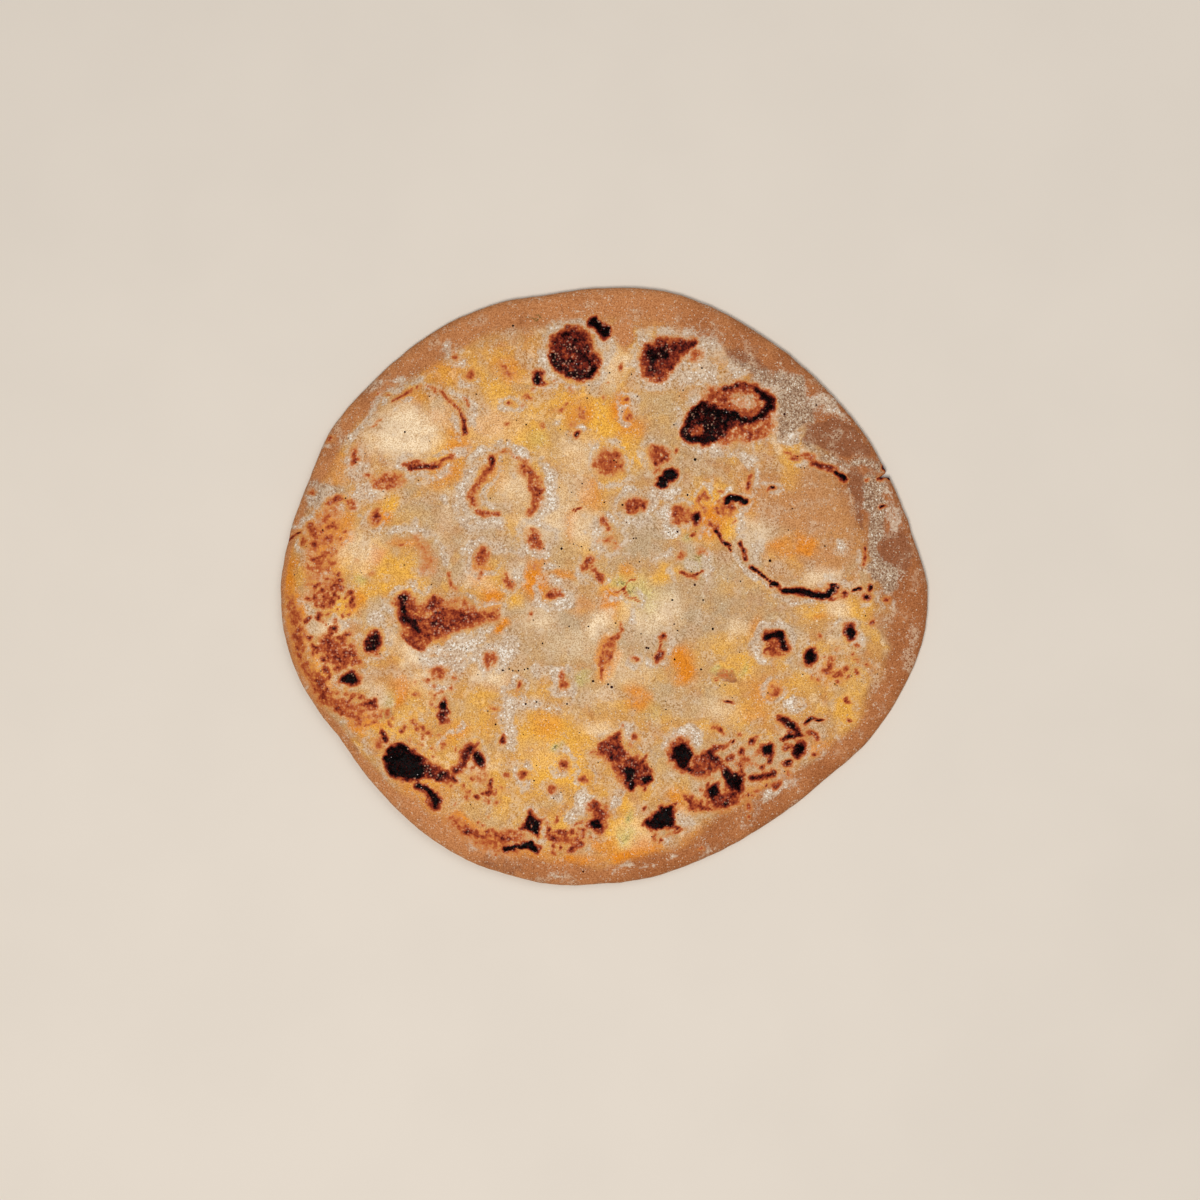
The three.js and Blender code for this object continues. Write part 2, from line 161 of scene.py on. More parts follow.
TOAST_LINES = (
    # round the large pale blister
    (1.1, 42, -53, 46, -50.5, 48, -49, 48.6), (1, 42, -48, 49, -46, 50.2),
    (1, 40, -41, 49, -39.5, 47.5, -37.5, 45.8, -36, 44.5), (0.9, 40, -44, 50, -42.5, 49.3),
    (1.1, 70, -36, 43, -35, 41.2, -34.4, 38.6), (1.5, 80, -48, 30.2, -45, 30.3, -41.5, 30.6),
    (1.1, 42, -49.5, 31.2, -46, 31.2), (1.2, 55, -41.5, 31, -39, 31.8, -37.5, 32.6),
    (0.5, 35, -58.5, 40.5, -56, 42.3), (0.6, 38, -34.6, 47.5, -33.3, 45.3),
    # the heart
    (1.5, 80, -28.1, 32.6, -27.9, 30.4), (2.2, 42, -29, 29.5, -30, 27.5, -32, 25.5, -33, 23, -32.2, 20.5),
    (1.3, 42, -31.5, 19, -29, 18.6, -26, 18.5), (1.2, 30, -26.5, 33.8, -23.5, 33.6, -21, 31.5),
    (3, 45, -20.3, 30.5, -18, 27, -16.6, 24.5, -16.6, 22), (1.8, 42, -17.2, 20.5, -18.8, 19),
    # the two round scorches and the chip beside them
    (2.2, 93, -13, 58, -11.5, 55.3, -9, 53.6, -5.5, 52.8, -3, 53.6, -2, 55.4),
    (2.6, 88, -3.5, 59.5, -3.5, 57, -2.8, 55), (2.9, 150, -2.4, 66, -1.2, 65, 0.2, 64.2),
    (2, 76, 15, 59.5, 18.5, 60.8, 22.5, 61.3), (1.6, 70, 17, 58.5, 20, 59.6),
    # the looped scorch
    (2.2, 115, 24.2, 45.6, 22.6, 43.4, 21, 41, 20.4, 39.2), (2, 110, 24.8, 45.2, 26.4, 42.4, 27.4, 39),
    (2.2, 120, 20.8, 38.2, 22.7, 37.2, 25.1, 36.9, 27.6, 37.2), (1.3, 95, 21.6, 42.4, 24, 42.9, 26, 42.2),
    (3.2, 115, 27.4, 44, 30, 43.4, 32.4, 42.4), (2.2, 115, 31, 42.8, 34, 41.9, 36.5, 42, 39, 42.2),
    (2.8, 115, 39.2, 42.8, 40.9, 44.3, 41.2, 46.6, 40, 48.2), (2.2, 95, 40, 48.4, 38, 49.6),
    (2, 72, 37.5, 50, 35.5, 50.3, 33, 50, 30.5, 49.2), (1.6, 55, 30.5, 48.8, 29.3, 47, 29, 45.6),
    # upper right
    (1.3, 42, 46.3, 32.3, 48.5, 32.3), (1.2, 34, 45.5, 33.6, 49, 33.2, 52, 32.2),
    (1.3, 72, 52.5, 31.2, 54.5, 30.5), (0.9, 66, 54.5, 30.3, 57, 29.1),
    (1.2, 150, 57.5, 28.8, 59, 27.7, 60.3, 27), (0.5, 150, 71.8, 27.8, 70.6, 28.3, 69.8, 27.6),
    (0.9, 70, 69.8, 27.6, 68.6, 27.2), (0.8, 55, 65, 10, 64.8, 6),
    (1.4, 150, 30.7, 21.2, 31.6, 22.4, 33, 22, 34.7, 21.2),
    # the burnt lower edge of the broad blister
    (0.5, 150, 27.9, 14.2, 29, 12.4, 30.2, 11, 31.3, 9.5), (1, 78, 34, 10.8, 35, 9, 35.6, 7.5),
    (0.7, 150, 36.5, 5.6, 38, 4.6), (0.5, 150, 38.2, 4.4, 40, 2.6, 41.5, 1.3),
    (0.9, 150, 42.2, 0.8, 43.1, 0.4), (0.6, 55, 43.1, 0.2, 44.5, -0.6),
    (1.5, 150, 45, -0.6, 47, -1, 49.5, -1.2), (1.1, 150, 49.5, -1.3, 52.5, -1.6),
    (1.6, 150, 53.3, -1.6, 55.5, -1.2, 57, -0.6), (0.7, 150, 56.3, 0.6, 58, 0.6),
    (0.5, 150, 62.4, -0.8, 64.2, -0.6),
    # the hooked scorch below it
    (1.7, 130, 40.6, -12.6, 41.6, -11.5, 43.2, -11.3, 44.5, -12.7, 45.7, -15),
    (0.8, 80, 40.6, -12.8, 41.3, -14.4, 42.4, -13.8), (0.5, 55, 40.3, -14.3, 39.8, -16),
    (0.5, 50, 41.5, -14, 41.3, -16.8), (0.5, 50, 42.8, -14.2, 43, -17.3), (0.5, 50, 44.3, -14.5, 44.8, -17),
    (0.6, 60, 45.5, -14.8, 45.8, -16),
    # left
    (0.3, 90, -79.2, 11.4, -78.2, 12.8, -77, 13.6, -75.4, 13.7),
    (0.7, 65, -68.3, -0.5, -67, 0.5, -65.3, 0.8), (1.6, 12, -54.5, 11.3, -50, 12.3, -46.5, 12),
    (3, 22, -46.5, 12, -44.6, 9.5, -44, 6.5, -44.4, 4),
    (2.8, 98, -49.7, -2.8, -49.7, -5.5, -48.3, -8.5, -46.5, -10.3),
    (1.6, 66, -46.5, -10.3, -43.5, -11.5, -41, -11), (1.3, 62, -50, -12, -47.5, -14, -45, -14.6),
    (1.2, 62, -43, -2.3, -41.5, -5, -40, -7.5), (1.4, 60, -37, -9, -34, -7.5, -30, -7, -26.5, -6.3),
    (1.4, 62, -40.5, -9, -37.5, -10), (1.2, 35, -30.3, 5, -30.8, 3),
    (0.9, 33, -38.8, 4, -37.8, 1, -36.5, -1),
    # middle
    (1, 62, 5.8, 19.8, 7.5, 20, 9.7, 20.2), (1, 42, -0.5, 17.5, 0.8, 16, 1.8, 15),
    (0.4, 70, -8, 19.3, -7.2, 18.5, -6.3, 19.1, -5.3, 19.3), (0.6, 72, 18.5, 3.6, 21.7, 2.7, 25, 3.7),
    (0.8, 50, -0.8, -18.5, -0.6, -20.5, 0, -22), (2.6, 34, 2.6, -13, 0.8, -15.5, 0.8, -17.6),
    (0.3, 60, 2.6, -1.4, 4.6, -0.4, 6.4, -1.8, 8.3, -3.7), (0.3, 40, 3.5, -1, 6, 1.4, 8, 2.6),
    # lower left
    (0.5, 50, -60, -34, -58.5, -34, -57, -33.3), (2.8, 85, -45, -44.6, -43, -45.6, -41, -46.6, -39.3, -47.2),
    (1, 72, -39.5, -47.6, -37, -48.3), (2.6, 72, -36.4, -45.4, -34.8, -43.4, -33.8, -41.2, -32.3, -39.5),
    (1.6, 115, -46.5, -49.3, -44.5, -50.5, -42.5, -51.3), (2.2, 110, -42.4, -51.4, -41.5, -53, -41.5, -54.4),
    (1.6, 62, -43.4, -53, -42.4, -54.4), (4, 26, -38, -58, -34, -61, -28, -64, -22, -65.4),
    (1.6, 36, -38, -57.6, -34.5, -60.5, -28, -63.4),
    # lower middle and lower right
    (2.4, 34, -13, -61.5, -9, -62.6, -6, -63.5),
    (1, 150, -24.5, -64.8, -21.5, -64.9, -19, -64.6), (1.8, 150, -19.8, -64.3, -18.5, -64, -17.3, -65.3),
    (0.8, 50, 22, -54.5, 25, -55), (1.8, 105, 44.4, -32.6, 46, -34, 47.6, -35.4, 48.6, -37),
    (1.3, 100, 44.4, -37.8, 46, -36.9, 48.4, -37.3), (1, 100, 50.5, -33.5, 51.7, -32.7),
    (0.7, 95, 52.8, -32.6, 55, -32.6), (2.2, 78, 25.6, -41.4, 27.6, -42.6, 29.4, -44),
    (1.6, 62, 26, -41, 28, -40.2, 30, -39.4), (1.4, 72, 21, -45, 22.8, -45.6, 24.5, -46, 26.4, -44.4),
    (1.5, 85, 36.4, -47.4, 38.6, -47.6, 40.8, -46.8, 42.2, -46),
)
# the two round scorches, the looped one, the rusty fields and the black blots
TOAST_PATCHES = (
    (76, -14.2, 60.5, -12.5, 63.5, -9, 65.3, -5.5, 64.8, -3, 62.5, -1.7, 59, -0.5, 56, -1, 53.7, -4, 52,
     -7, 52.2, -10, 53.6, -12.5, 55.8, -14, 58),
    (70, 8.4, 57.5, 9.6, 61, 13, 62.2, 18, 62.3, 21.8, 62.2, 23.6, 61.4, 23, 60.3, 21.3, 58.9, 19, 56.8,
     17.4, 54, 15.4, 52.2, 12.6, 51.4, 11, 51.8, 9.2, 53.4, 8.4, 55.5),
    (92, 19.4, 39.5, 20.3, 42.5, 22, 44.6, 24.2, 46.6, 25.5, 45.8, 27.3, 45.6, 30, 45, 33, 43.2, 34, 41.6,
     31.5, 39, 29.8, 37.4, 28, 36.2, 25.5, 35.8, 22.5, 36.6, 20.4, 37.8),
    (36, 19.6, 39.5, 21.5, 43.5, 24.2, 47.4, 26, 50, 31.5, 50.4, 35, 51.2, 38, 50.6, 41, 49.4, 42.6, 46,
     43.1, 42.6, 41.8, 40, 39.4, 37.8, 36.2, 36.2, 32, 35.8, 28, 35.4, 24, 36, 20.9, 37.4),
    (36, 0, 12.8, -1.8, 11.5, 1, 10.5, 3.8, 9.8, 2.5, 12.5),
    (46, -70.6, -12, -68.5, -11.4, -66, -13.4, -62, -13.6, -61, -17, -60, -19.8, -64, -20.2, -66.5, -20.6,
     -69.6, -17.6, -71, -14.6),
    (50, -53.5, -3.5, -51, -1.8, -48, -1.5, -46, -4, -42.5, -2, -38, -3.5, -34.5, -2.8, -31, -5.5, -26, -4.5,
     -26, -7, -32, -9.5, -38, -11, -42, -13.5, -46, -14.8, -49.5, -12.8, -50.5, -10, -49.8, -6.5,
     -52.5, -4.8),
    (30, -79.6, 0, -77, -1, -76, -4, -74.6, -8, -74.2, -13, -73.6, -18, -71, -21, -67.6, -24, -66.6, -29,
     -68.4, -31, -71, -29.6, -73.4, -26, -76, -21.5, -78, -15, -79.4, -8),
    (42, -78.6, -7, -75.4, -7.4, -75, -11, -74.8, -16, -73, -20, -75.6, -20.4, -77.4, -15, -78.6, -11),
    (52, -72.4, -21, -69.4, -22, -67.6, -26, -67.4, -30, -70, -29, -72.4, -25),
    (20, -75.5, 15, -72, 17, -70, 21, -65, 22, -65.5, 17, -66.5, 12, -65.5, 6, -66, -3, -70, -6, -74, -3,
     -75, 4, -74.6, 10),
    (34, -68, -27.5, -60, -29, -58.5, -31, -62, -33.5, -66, -32.5, -69.5, -30),
    (135, -55.2, -42.4, -54.5, -40.5, -52, -39, -50, -38.8, -48, -40.3, -46, -42, -44.6, -44, -44.8, -46.5,
     -46.5, -47.8, -49, -48.3, -52, -47.8, -54, -45.5),
    (66, 3.5, -35.3, 4.8, -37, 4.8, -40, 6, -41.7, 9.5, -42, 11.5, -44, 11.6, -47, 10.3, -50, 6.5, -50.6,
     4.5, -48.5, 2.5, -45.5, 0, -42.5, -3.5, -40.8, -0.5, -38.5, 1.8, -36.3),
    (58, -4.2, -53.6, -2.4, -52.6, -0.6, -54.6, 1.4, -57, 1, -59.5, -1, -61.4, -4, -60.4, -4.4, -58.4,
     -2, -57.4, -3.6, -55.6),
    (150, -18.2, -55.8, -16, -59, -16.6, -62, -18.5, -60.5, -20.8, -60, -19.6, -58),
    (150, 10, -58.8, 12, -56.8, 14.5, -54.4, 17.4, -54.2, 17.4, -58, 16, -59.6, 13, -59.9),
    (140, 29, -44.4, 31, -44.8, 32.6, -46.6, 34.8, -46.6, 34.4, -49, 33.8, -51, 31.8, -50.4, 30.4, -48),
    (52, 19.6, -51.4, 22, -51, 24, -53, 26.5, -54, 27, -56, 24, -55.8, 21.4, -55),
    (52, 22.4, -41, 27, -41, 29, -44, 27, -47.4, 21.6, -46.6),
    (62, 26, -50, 30, -50, 34.5, -50.5, 33.5, -54, 29.5, -55.8, 25.8, -54),
)
# Gaps in the toast: spots whose strength is the toast that is left in them
TOAST_GAPS = (
    (34.8, 46.3, 3.9, 2.1, -22, 16), (23.3, 39.6, 1.8, 1.4, -5, 40), (43.2, -13, 0.7, 0.4, 0, 15),
    (61.3, -12.5, 0.45, 0.45, 0, 30), (48.7, -40.3, 0.6, 0.4, 0, 75), (45.8, -43.8, 0.4, 0.35, 0, 30),
    (33.5, -36.7, 0.4, 0.35, 0, 15), (58, -1.2, 0.7, 0.7, 0, 40), (-18.5, -58.6, 1, 0.25, 80, 30),
    (5.8, 46.8, 0.35, 0.3, 0, 10), (5.9, 42.8, 0.35, 0.3, 0, 10), (12.8, -61.6, 0.4, 0.25, 85, 10),
    (-8.5, 57.5, 1.8, 1.2, -20, 58), (-4.5, 61, 1.3, 0.9, 30, 58), (-46.8, -12.2, 0.9, 0.6, 10, 35),
    (-44.6, -5.6, 2.6, 2, -30, 30), (-37.5, -4, 3.6, 1.9, 0, 20),
)

# Flour: 100 is a thick dusting.
FLOUR_SPOTS = (
    (-37, 58.6, 3.4, 2.6, 0, 35), (-15.8, 57.2, 2, 1.8, 0, 85), (-6, 50.2, 2.5, 1, 0, 70),
    (-3.3, 64.3, 1, 0.7, 0, 90), (34.8, 45.8, 3.6, 1.8, -20, 55), (33, 33.2, 4, 1.2, -8, 45),
    (35.5, 32.5, 1.8, 1.3, 0, 65), (47.5, 36.6, 2.4, 1.4, 0, 75), (16, 16.5, 2.5, 3.2, 0, 80),
    (16, 23.6, 3.8, 2.4, 0, 85), (-21, 2.5, 1.8, 2.2, 0, 60), (-22, 8.5, 2, 1.8, 0, 50),
    (-13, 5.5, 1.6, 1, 0, 50), (-10.5, -2.5, 2.6, 1.5, 20, 75), (13.5, 7.3, 3.5, 1.1, 20, 75),
    (22, 6, 3, 2, 10, 35), (-25, -15.5, 3.6, 2.8, 20, 85), (-14.5, -21, 4, 1.6, 0, 60),
    (-5, -53, 3.5, 2.3, 80, 60), (-12.5, -53, 2.2, 1.5, 0, 50), (3, -52, 3, 1.8, 20, 60),
    (-7, -57, 2.5, 1.5, 80, 60), (20.5, -58, 3, 2, 0, 35), (14.8, -63, 1, 1.6, 0, 50),
    (16.5, -67.5, 2, 0.9, 20, 40), (-26.5, -67.5, 4, 1.5, -20, 50), (-12, -71.5, 2, 1, 0, 50),
    (41.5, -52, 2.5, 1.1, 30, 65), (44.5, -48.6, 2.4, 2, 30, 50), (47, -29.6, 1.7, 1.2, 10, 95),
    (50.8, -41, 2, 1.1, 90, 50), (59, -37, 2, 1, -40, 15), (58.7, 10.8, 0.9, 0.8, 0, 80),
    (-57, -8.2, 2.2, 2, 0, 55), (-54, -5.8, 1.2, 1, 0, 80), (-40.5, 21.5, 1.2, 1, 0, 70),
    (-35.3, 20.5, 2, 3, 20, 50), (7.7, -7, 0.7, 1.2, 0, 90), (-46.5, 16, 1, 0.8, 0, 50),
    (72.3, 2.5, 2.6, 3.2, 20, 62), (-63.5, -8.5, 2.5, 1.6, 0, 35), (-36, 32.8, 2.2, 1, 50, 60),
    (37, 10, 1.6, 3.4, 20, 35), (-2.5, 13.5, 2, 2.6, 0, 50), (-70, -19.2, 0.9, 0.8, 0, 60),
    (-46.5, 3, 2.4, 1.6, 30, 40), (-37, -46.5, 1, 1, 0, 30),
)
FLOUR_LINES = (
    (1.6, 50, -64, 36, -61, 39, -58.5, 42.5, -56.5, 46.5, -55, 50, -51, 51.5, -47, 52.4),
    (1.4, 55, -39, 49.5, -35.5, 48.2, -33.2, 46, -33.4, 40.5), (2.2, 36, -51, 30, -47, 28, -42, 28, -38, 30),
    (2.6, 66, -30, 34.5, -33.5, 30, -35.8, 26, -36, 21, -34.5, 17, -29.5, 15.5, -26, 16.4),
    (2.2, 66, -29, 35, -25.5, 35.7, -21.5, 34.5, -18.5, 31.5),
    (1.2, 60, -53, 14, -49, 14.6, -45, 14.2, -41, 12, -39, 9.5, -38.6, 6),
    (1.4, 60, -46, -15.8, -40, -13.8, -34, -11.9, -28, -9.2), (1, 70, -45.5, -17.4, -40, -17.3, -36, -18),
    (3.6, 50, -24.5, -26, -24, -32, -23, -38.5),
    (2.2, 48, -22, -28.5, -17, -28, -12, -29.5, -8.5, -28, -6.5, -25.5, -8, -21.5),
    (1.2, 50, -40.5, -39, -38, -36, -35.8, -33), (1.4, 60, 1, 18.5, 3, 15.5, 4.5, 12.5, 4.5, 10),
    (1.2, 50, -1.5, 9, 3, 8.6, 7.5, 8.2), (1.3, 60, 26.3, 9, 26, 6, 25.8, 3.2),
    (0.6, 95, 11.2, -15.8, 11.3, -18.5, 13.5, -18.8), (1.6, 60, 3, -34, 6, -34.5, 7, -38, 10, -41),
    (2, 80, 15, -39.5, 17.3, -36.8, 21, -36, 24, -38.7), (1, 50, 2, -71.5, 5, -70, 10, -69.8, 14, -68.5),
    (0.9, 70, 31.2, 8.6, 34, 5.5, 37, 3, 41, 0.2, 44, -1.8), (1, 50, 45, -2.6, 50, -3, 56, -3.3),
    (1.2, 50, -18, 54.5, -17, 49.5, -14, 49), (1.2, 55, 21, 49, 24, 51.5, 26.5, 54),
    (1.4, 70, 19, 46, 18.8, 41, 19.5, 37, 23, 35.2, 28, 34.2), (1, 35, -63.5, 35, -64.6, 32, -64, 29),
    (1.1, 30, -60.5, 34.6, -59, 31.5, -60.3, 28.5), (1.4, 40, -74, 24.5, -70, 25.5, -65, 25.2),
)
# Rings of flour round single scorches: middle x, y, radius, width, strength
FLOUR_RINGS = (
    (7.7, 20.8, 4.2, 1.8, 55), (-17.4, 12, 4.2, 1.6, 50), (-30.5, 7.5, 4.3, 1.5, 45),
    (1.2, 13, 4.8, 1.6, 45), (-28.5, -17.8, 3, 1.6, 60), (8.2, -17.7, 1.8, 1, 75),
    (-13.2, -1.6, 3.4, 1.6, 50), (-21.3, -24.7, 2.2, 1.1, 55), (-10.3, -23, 3.2, 1.2, 50),
    (-20.2, -46.5, 3, 1.3, 45), (-10, -44.1, 2.9, 1.2, 40), (-5.2, -47.4, 2.7, 1.1, 35),
    (14.3, -15, 3.4, 1.2, 35), (43, -13.6, 5.4, 1.4, 50), (-41, -21.3, 3.6, 1.4, 50),
    (1.5, 31, 5.4, 1.4, 35), (-7.2, 58.6, 8.6, 1.6, 40), (61.3, -11, 3.2, 1.2, 35),
    (42.7, -25.6, 2.9, 1.1, 35), (-2.6, 4.6, 4, 1.2, 30), (-57.5, -14, 4.4, 1.2, 35),
    (-23.7, 1.6, 3.2, 1.2, 35), (5.8, 46.6, 2.6, 1.1, 35), (-18.5, -58.6, 4.4, 1.2, 30),
)
FLOUR_PATCHES = (
    (42, 50.5, 48.5, 55, 48.8, 58.4, 46, 61.6, 42.6, 60.6, 41.8, 57, 43, 52.4, 42, 50, 44.5),
    (34, 7, 64.4, 14, 65.4, 22, 65.2, 28, 63.4, 31, 60, 34, 56.5, 38, 54, 44, 54.4, 48.5, 53.5, 51, 49,
     52, 44, 50.5, 39.5, 45, 37, 40.5, 36, 37, 35, 31, 35, 25, 34.6, 20, 36.2, 18.4, 39, 18.6, 43, 20.5, 47,
     20, 50, 16, 50, 11, 49.8, 7.6, 53, 6.2, 58, 6.6, 62),
    (20, -66.5, 36, -64.8, 31, -64.5, 28, -62, 26, -58.5, 27, -57.5, 31, -58.5, 35, -60.5, 35),
    (72, -45, -18.5, -42, -15.5, -38, -13.8, -34, -12.8, -31, -11.4, -30, -13, -32, -14.5, -29.5, -15.5,
     -28, -14, -26, -12.5, -23, -12.7, -22, -15, -23, -18, -25, -20, -31, -19.4, -36, -20.3, -44, -20),
    (70, -15, 31, -12, 29, -11.5, 24, -13, 20, -17, 18, -15, 22, -14.5, 26),
    (34, -75, 25, -68, 27, -60, 27, -56, 24, -59, 20, -61, 17, -60, 15, -62.5, 20, -64, 23, -69, 23.5,
     -74, 18),
    (36, 70.6, 27, 73.2, 22.5, 75.4, 15, 73, 13.5, 71, 18, 70.2, 24),
)

# Dust: flour scorched to grey grains with brown pits between them.
DUST_PATCHES = (
    (90, 43.8, 50.5, 45, 53.5, 49.5, 53, 50.5, 48, 52.5, 44.5, 52, 41, 48.5, 38.5, 45, 37.5, 43.6, 40,
     44.2, 43, 43.6, 47),
    (30, 47, 52.4, 50.6, 49.8, 55.6, 46.6, 59, 43.6, 56, 42.6, 52, 41.6, 50, 45),
    (60, 30, 59, 33, 57, 36, 55.6, 40, 55, 46, 54.6, 44, 51.4, 41, 51.2, 37, 53, 33, 55),
    (100, 68, 28.2, 65.8, 26, 64.7, 22, 63.7, 20, 65.3, 17, 65.6, 12, 65.7, 8, 66, 4, 67, 1, 70, 0.5,
     72, -1.5, 74.5, 0, 74, 5, 71, 6.5, 68.5, 9, 69.6, 13, 70, 18, 69.5, 22, 70.8, 26),
    (60, 46, 36.8, 49, 37, 52, 35.6, 56, 34.6, 60, 32.6, 65, 32, 69, 31, 70.4, 28.8, 67, 28.6, 64, 29.6,
     61, 29.4, 58, 30.8, 54, 33, 50, 34.6, 46.5, 35.4),
    (45, -74, 27, -69, 27.6, -65, 27, -64, 24, -69, 22.5, -72, 19, -74, 16.5, -75.5, 20),
    (20, -65.5, 37, -62, 35.5, -62, 30, -65, 27.5, -66.5, 31),
)

# Freckled zones: middle x, y, half length, half width, turn, number, weakest and strongest toast, as shares.
FRECKLE_ZONES = (
    (-69, 14, 9, 5, 80, 36, 0.22, 0.5), (-69, -2, 8, 5, 90, 40, 0.32, 0.72),
    (-68, -15, 7, 6, 90, 40, 0.28, 0.75), (-64, -29, 7, 4, -30, 30, 0.28, 0.7),
    (-29, -62, 9, 3, -18, 30, 0.3, 0.65), (-10, -62, 8, 3, 5, 26, 0.3, 0.65),
    (40, -43, 16, 7, 30, 26, 0.25, 0.85), (30, -51, 7, 5, 0, 26, 0.3, 0.8),
    (57, -19, 6, 5, 50, 16, 0.25, 0.55), (6, -44, 7, 5, -50, 20, 0.35, 0.7),
    (-9, 46, 12, 6, 0, 12, 0.2, 0.36), (28, 20, 7, 6, 30, 18, 0.25, 0.5), (-30, -51, 8, 4, 0, 20, 0.25, 0.6),
    (-46, -38, 10, 6, -45, 24, 0.22, 0.55), (-42, -26, 6, 5, 0, 12, 0.2, 0.42),
)

# Filling that shows through the skin, as soft spots
YELLOW_SPOTS = (
    (-15, -42, 42, 20, 5, 18), (-22, 34, 20, 13, 0, 25), (-4, 14, 8, 10, 0, 25), (38, -28, 26, 12, 25, 12),
    (-8, 45, 26, 10, 5, 22), (-60, 2, 12, 24, 10, 14), (0.8, 41.5, 4.5, 3.5, 0, 100),
    (-10, 46, 6, 3, -10, 50), (-20, 45, 6, 4, 0, 40), (-26, 47, 6, 4, 90, 55), (-3, 46, 4, 3, 0, 60),
    (-42, 34.6, 5, 4, 0, 70), (-30, 57, 5, 3, 0, 35), (-22, 46, 3, 3, 0, 40), (-25, 38, 7, 4, 0, 50),
    (-66, 9, 3, 4, 0, 40), (-50, 16, 5, 3, 0, 30), (0, 37.4, 4, 2.6, 0, 60), (3, 27, 4, 3, 0, 40),
    (-28, 0, 5, 4, 90, 50), (-16, -24.5, 5, 2.5, 0, 30), (6, 1, 6, 3.4, -10, 60), (3, -7, 3, 2, 0, 40),
    (26, 19, 6, 4.5, 80, 90), (30, 16, 4, 3, 60, 80), (46, 29, 4, 3, 90, 60), (39, 2, 4, 2, -30, 30),
    (62.5, -5.5, 3.5, 2, 0, 70), (53, -6, 4, 2.5, 0, 55), (25, -34, 8, 6, 0, 15), (35, -30, 8, 4, 0, 35),
    (31, -25, 5, 2.4, 0, 35), (60, -29.5, 4.4, 3, 90, 60), (62, -24, 4, 4, 0, 40), (-15, -36, 10, 6, 0, 60),
    (-7, -37, 6, 4, 0, 60), (-12, -46, 8, 4, -20, 100), (-8, -43, 4, 3, 0, 80), (-33, -34, 9, 6, 90, 42),
    (-34, -51, 10, 5, -30, 22), (-23, -52, 8, 5, 90, 40), (-27, -47, 6, 3, 90, 40), (5, -61, 5, 4, 0, 90),
    (5.5, -55, 3, 2, 90, 60), (-12, -60, 6, 4, 0, 40), (-21.6, 15, 3.6, 3.4, 0, 40),
    (-22.5, -3, 2, 2.4, 0, 60), (14.8, 3.2, 3, 2, 0, 60), (5, -5.4, 4, 3, 0, 60), (1, -20, 2.6, 3, 0, 50),
    (-5, 9.8, 2, 2, 0, 40), (24, 15, 5, 3.4, -20, 65), (30, -14, 7, 3, 20, 45), (49, -24, 4, 3.4, 20, 40),
    (66, -33, 4, 4, 0, 40), (32, -20, 4, 3, 0, 60), (36, -20.5, 2, 2.6, 20, 60), (31, 0, 3, 2, 0, 25),
    (52, -14, 3, 2, 0, 20), (-52.5, 4, 9, 4.5, -35, 60), (-57.5, 0, 6, 3.4, -10, 45),
    (-48.8, 6.8, 3, 3, 0, 55), (-40, 54, 8, 4, -15, 15), (-21, 37, 8, 4, 0, 55), (6, 36, 3, 4, 0, 60),
    (8, 32.6, 3.4, 2.8, 0, 70), (0, 0, 3, 3, 0, 50), (-65, 6, 2.2, 3, 0, 60), (-57.5, 8, 4.4, 3.4, 0, 60),
    (35, -18, 5, 2.4, 0, 60), (7, -22, 7, 5, -20, 25), (-54, 0, 1.6, 3.4, -30, 60),
    (-53.6, 21, 2.6, 3, -30, 85), (-63.5, -4.2, 5.4, 2.4, 5, 95), (-70.4, -20.4, 2, 3, 30, 70),
    (-50.5, -33.5, 6, 4, 10, 65), (-57, -33.6, 4, 2, 20, 60), (-46.5, -26, 3, 3, 0, 35),
    (-58.6, 6.2, 5, 1.6, 20, 50),
)
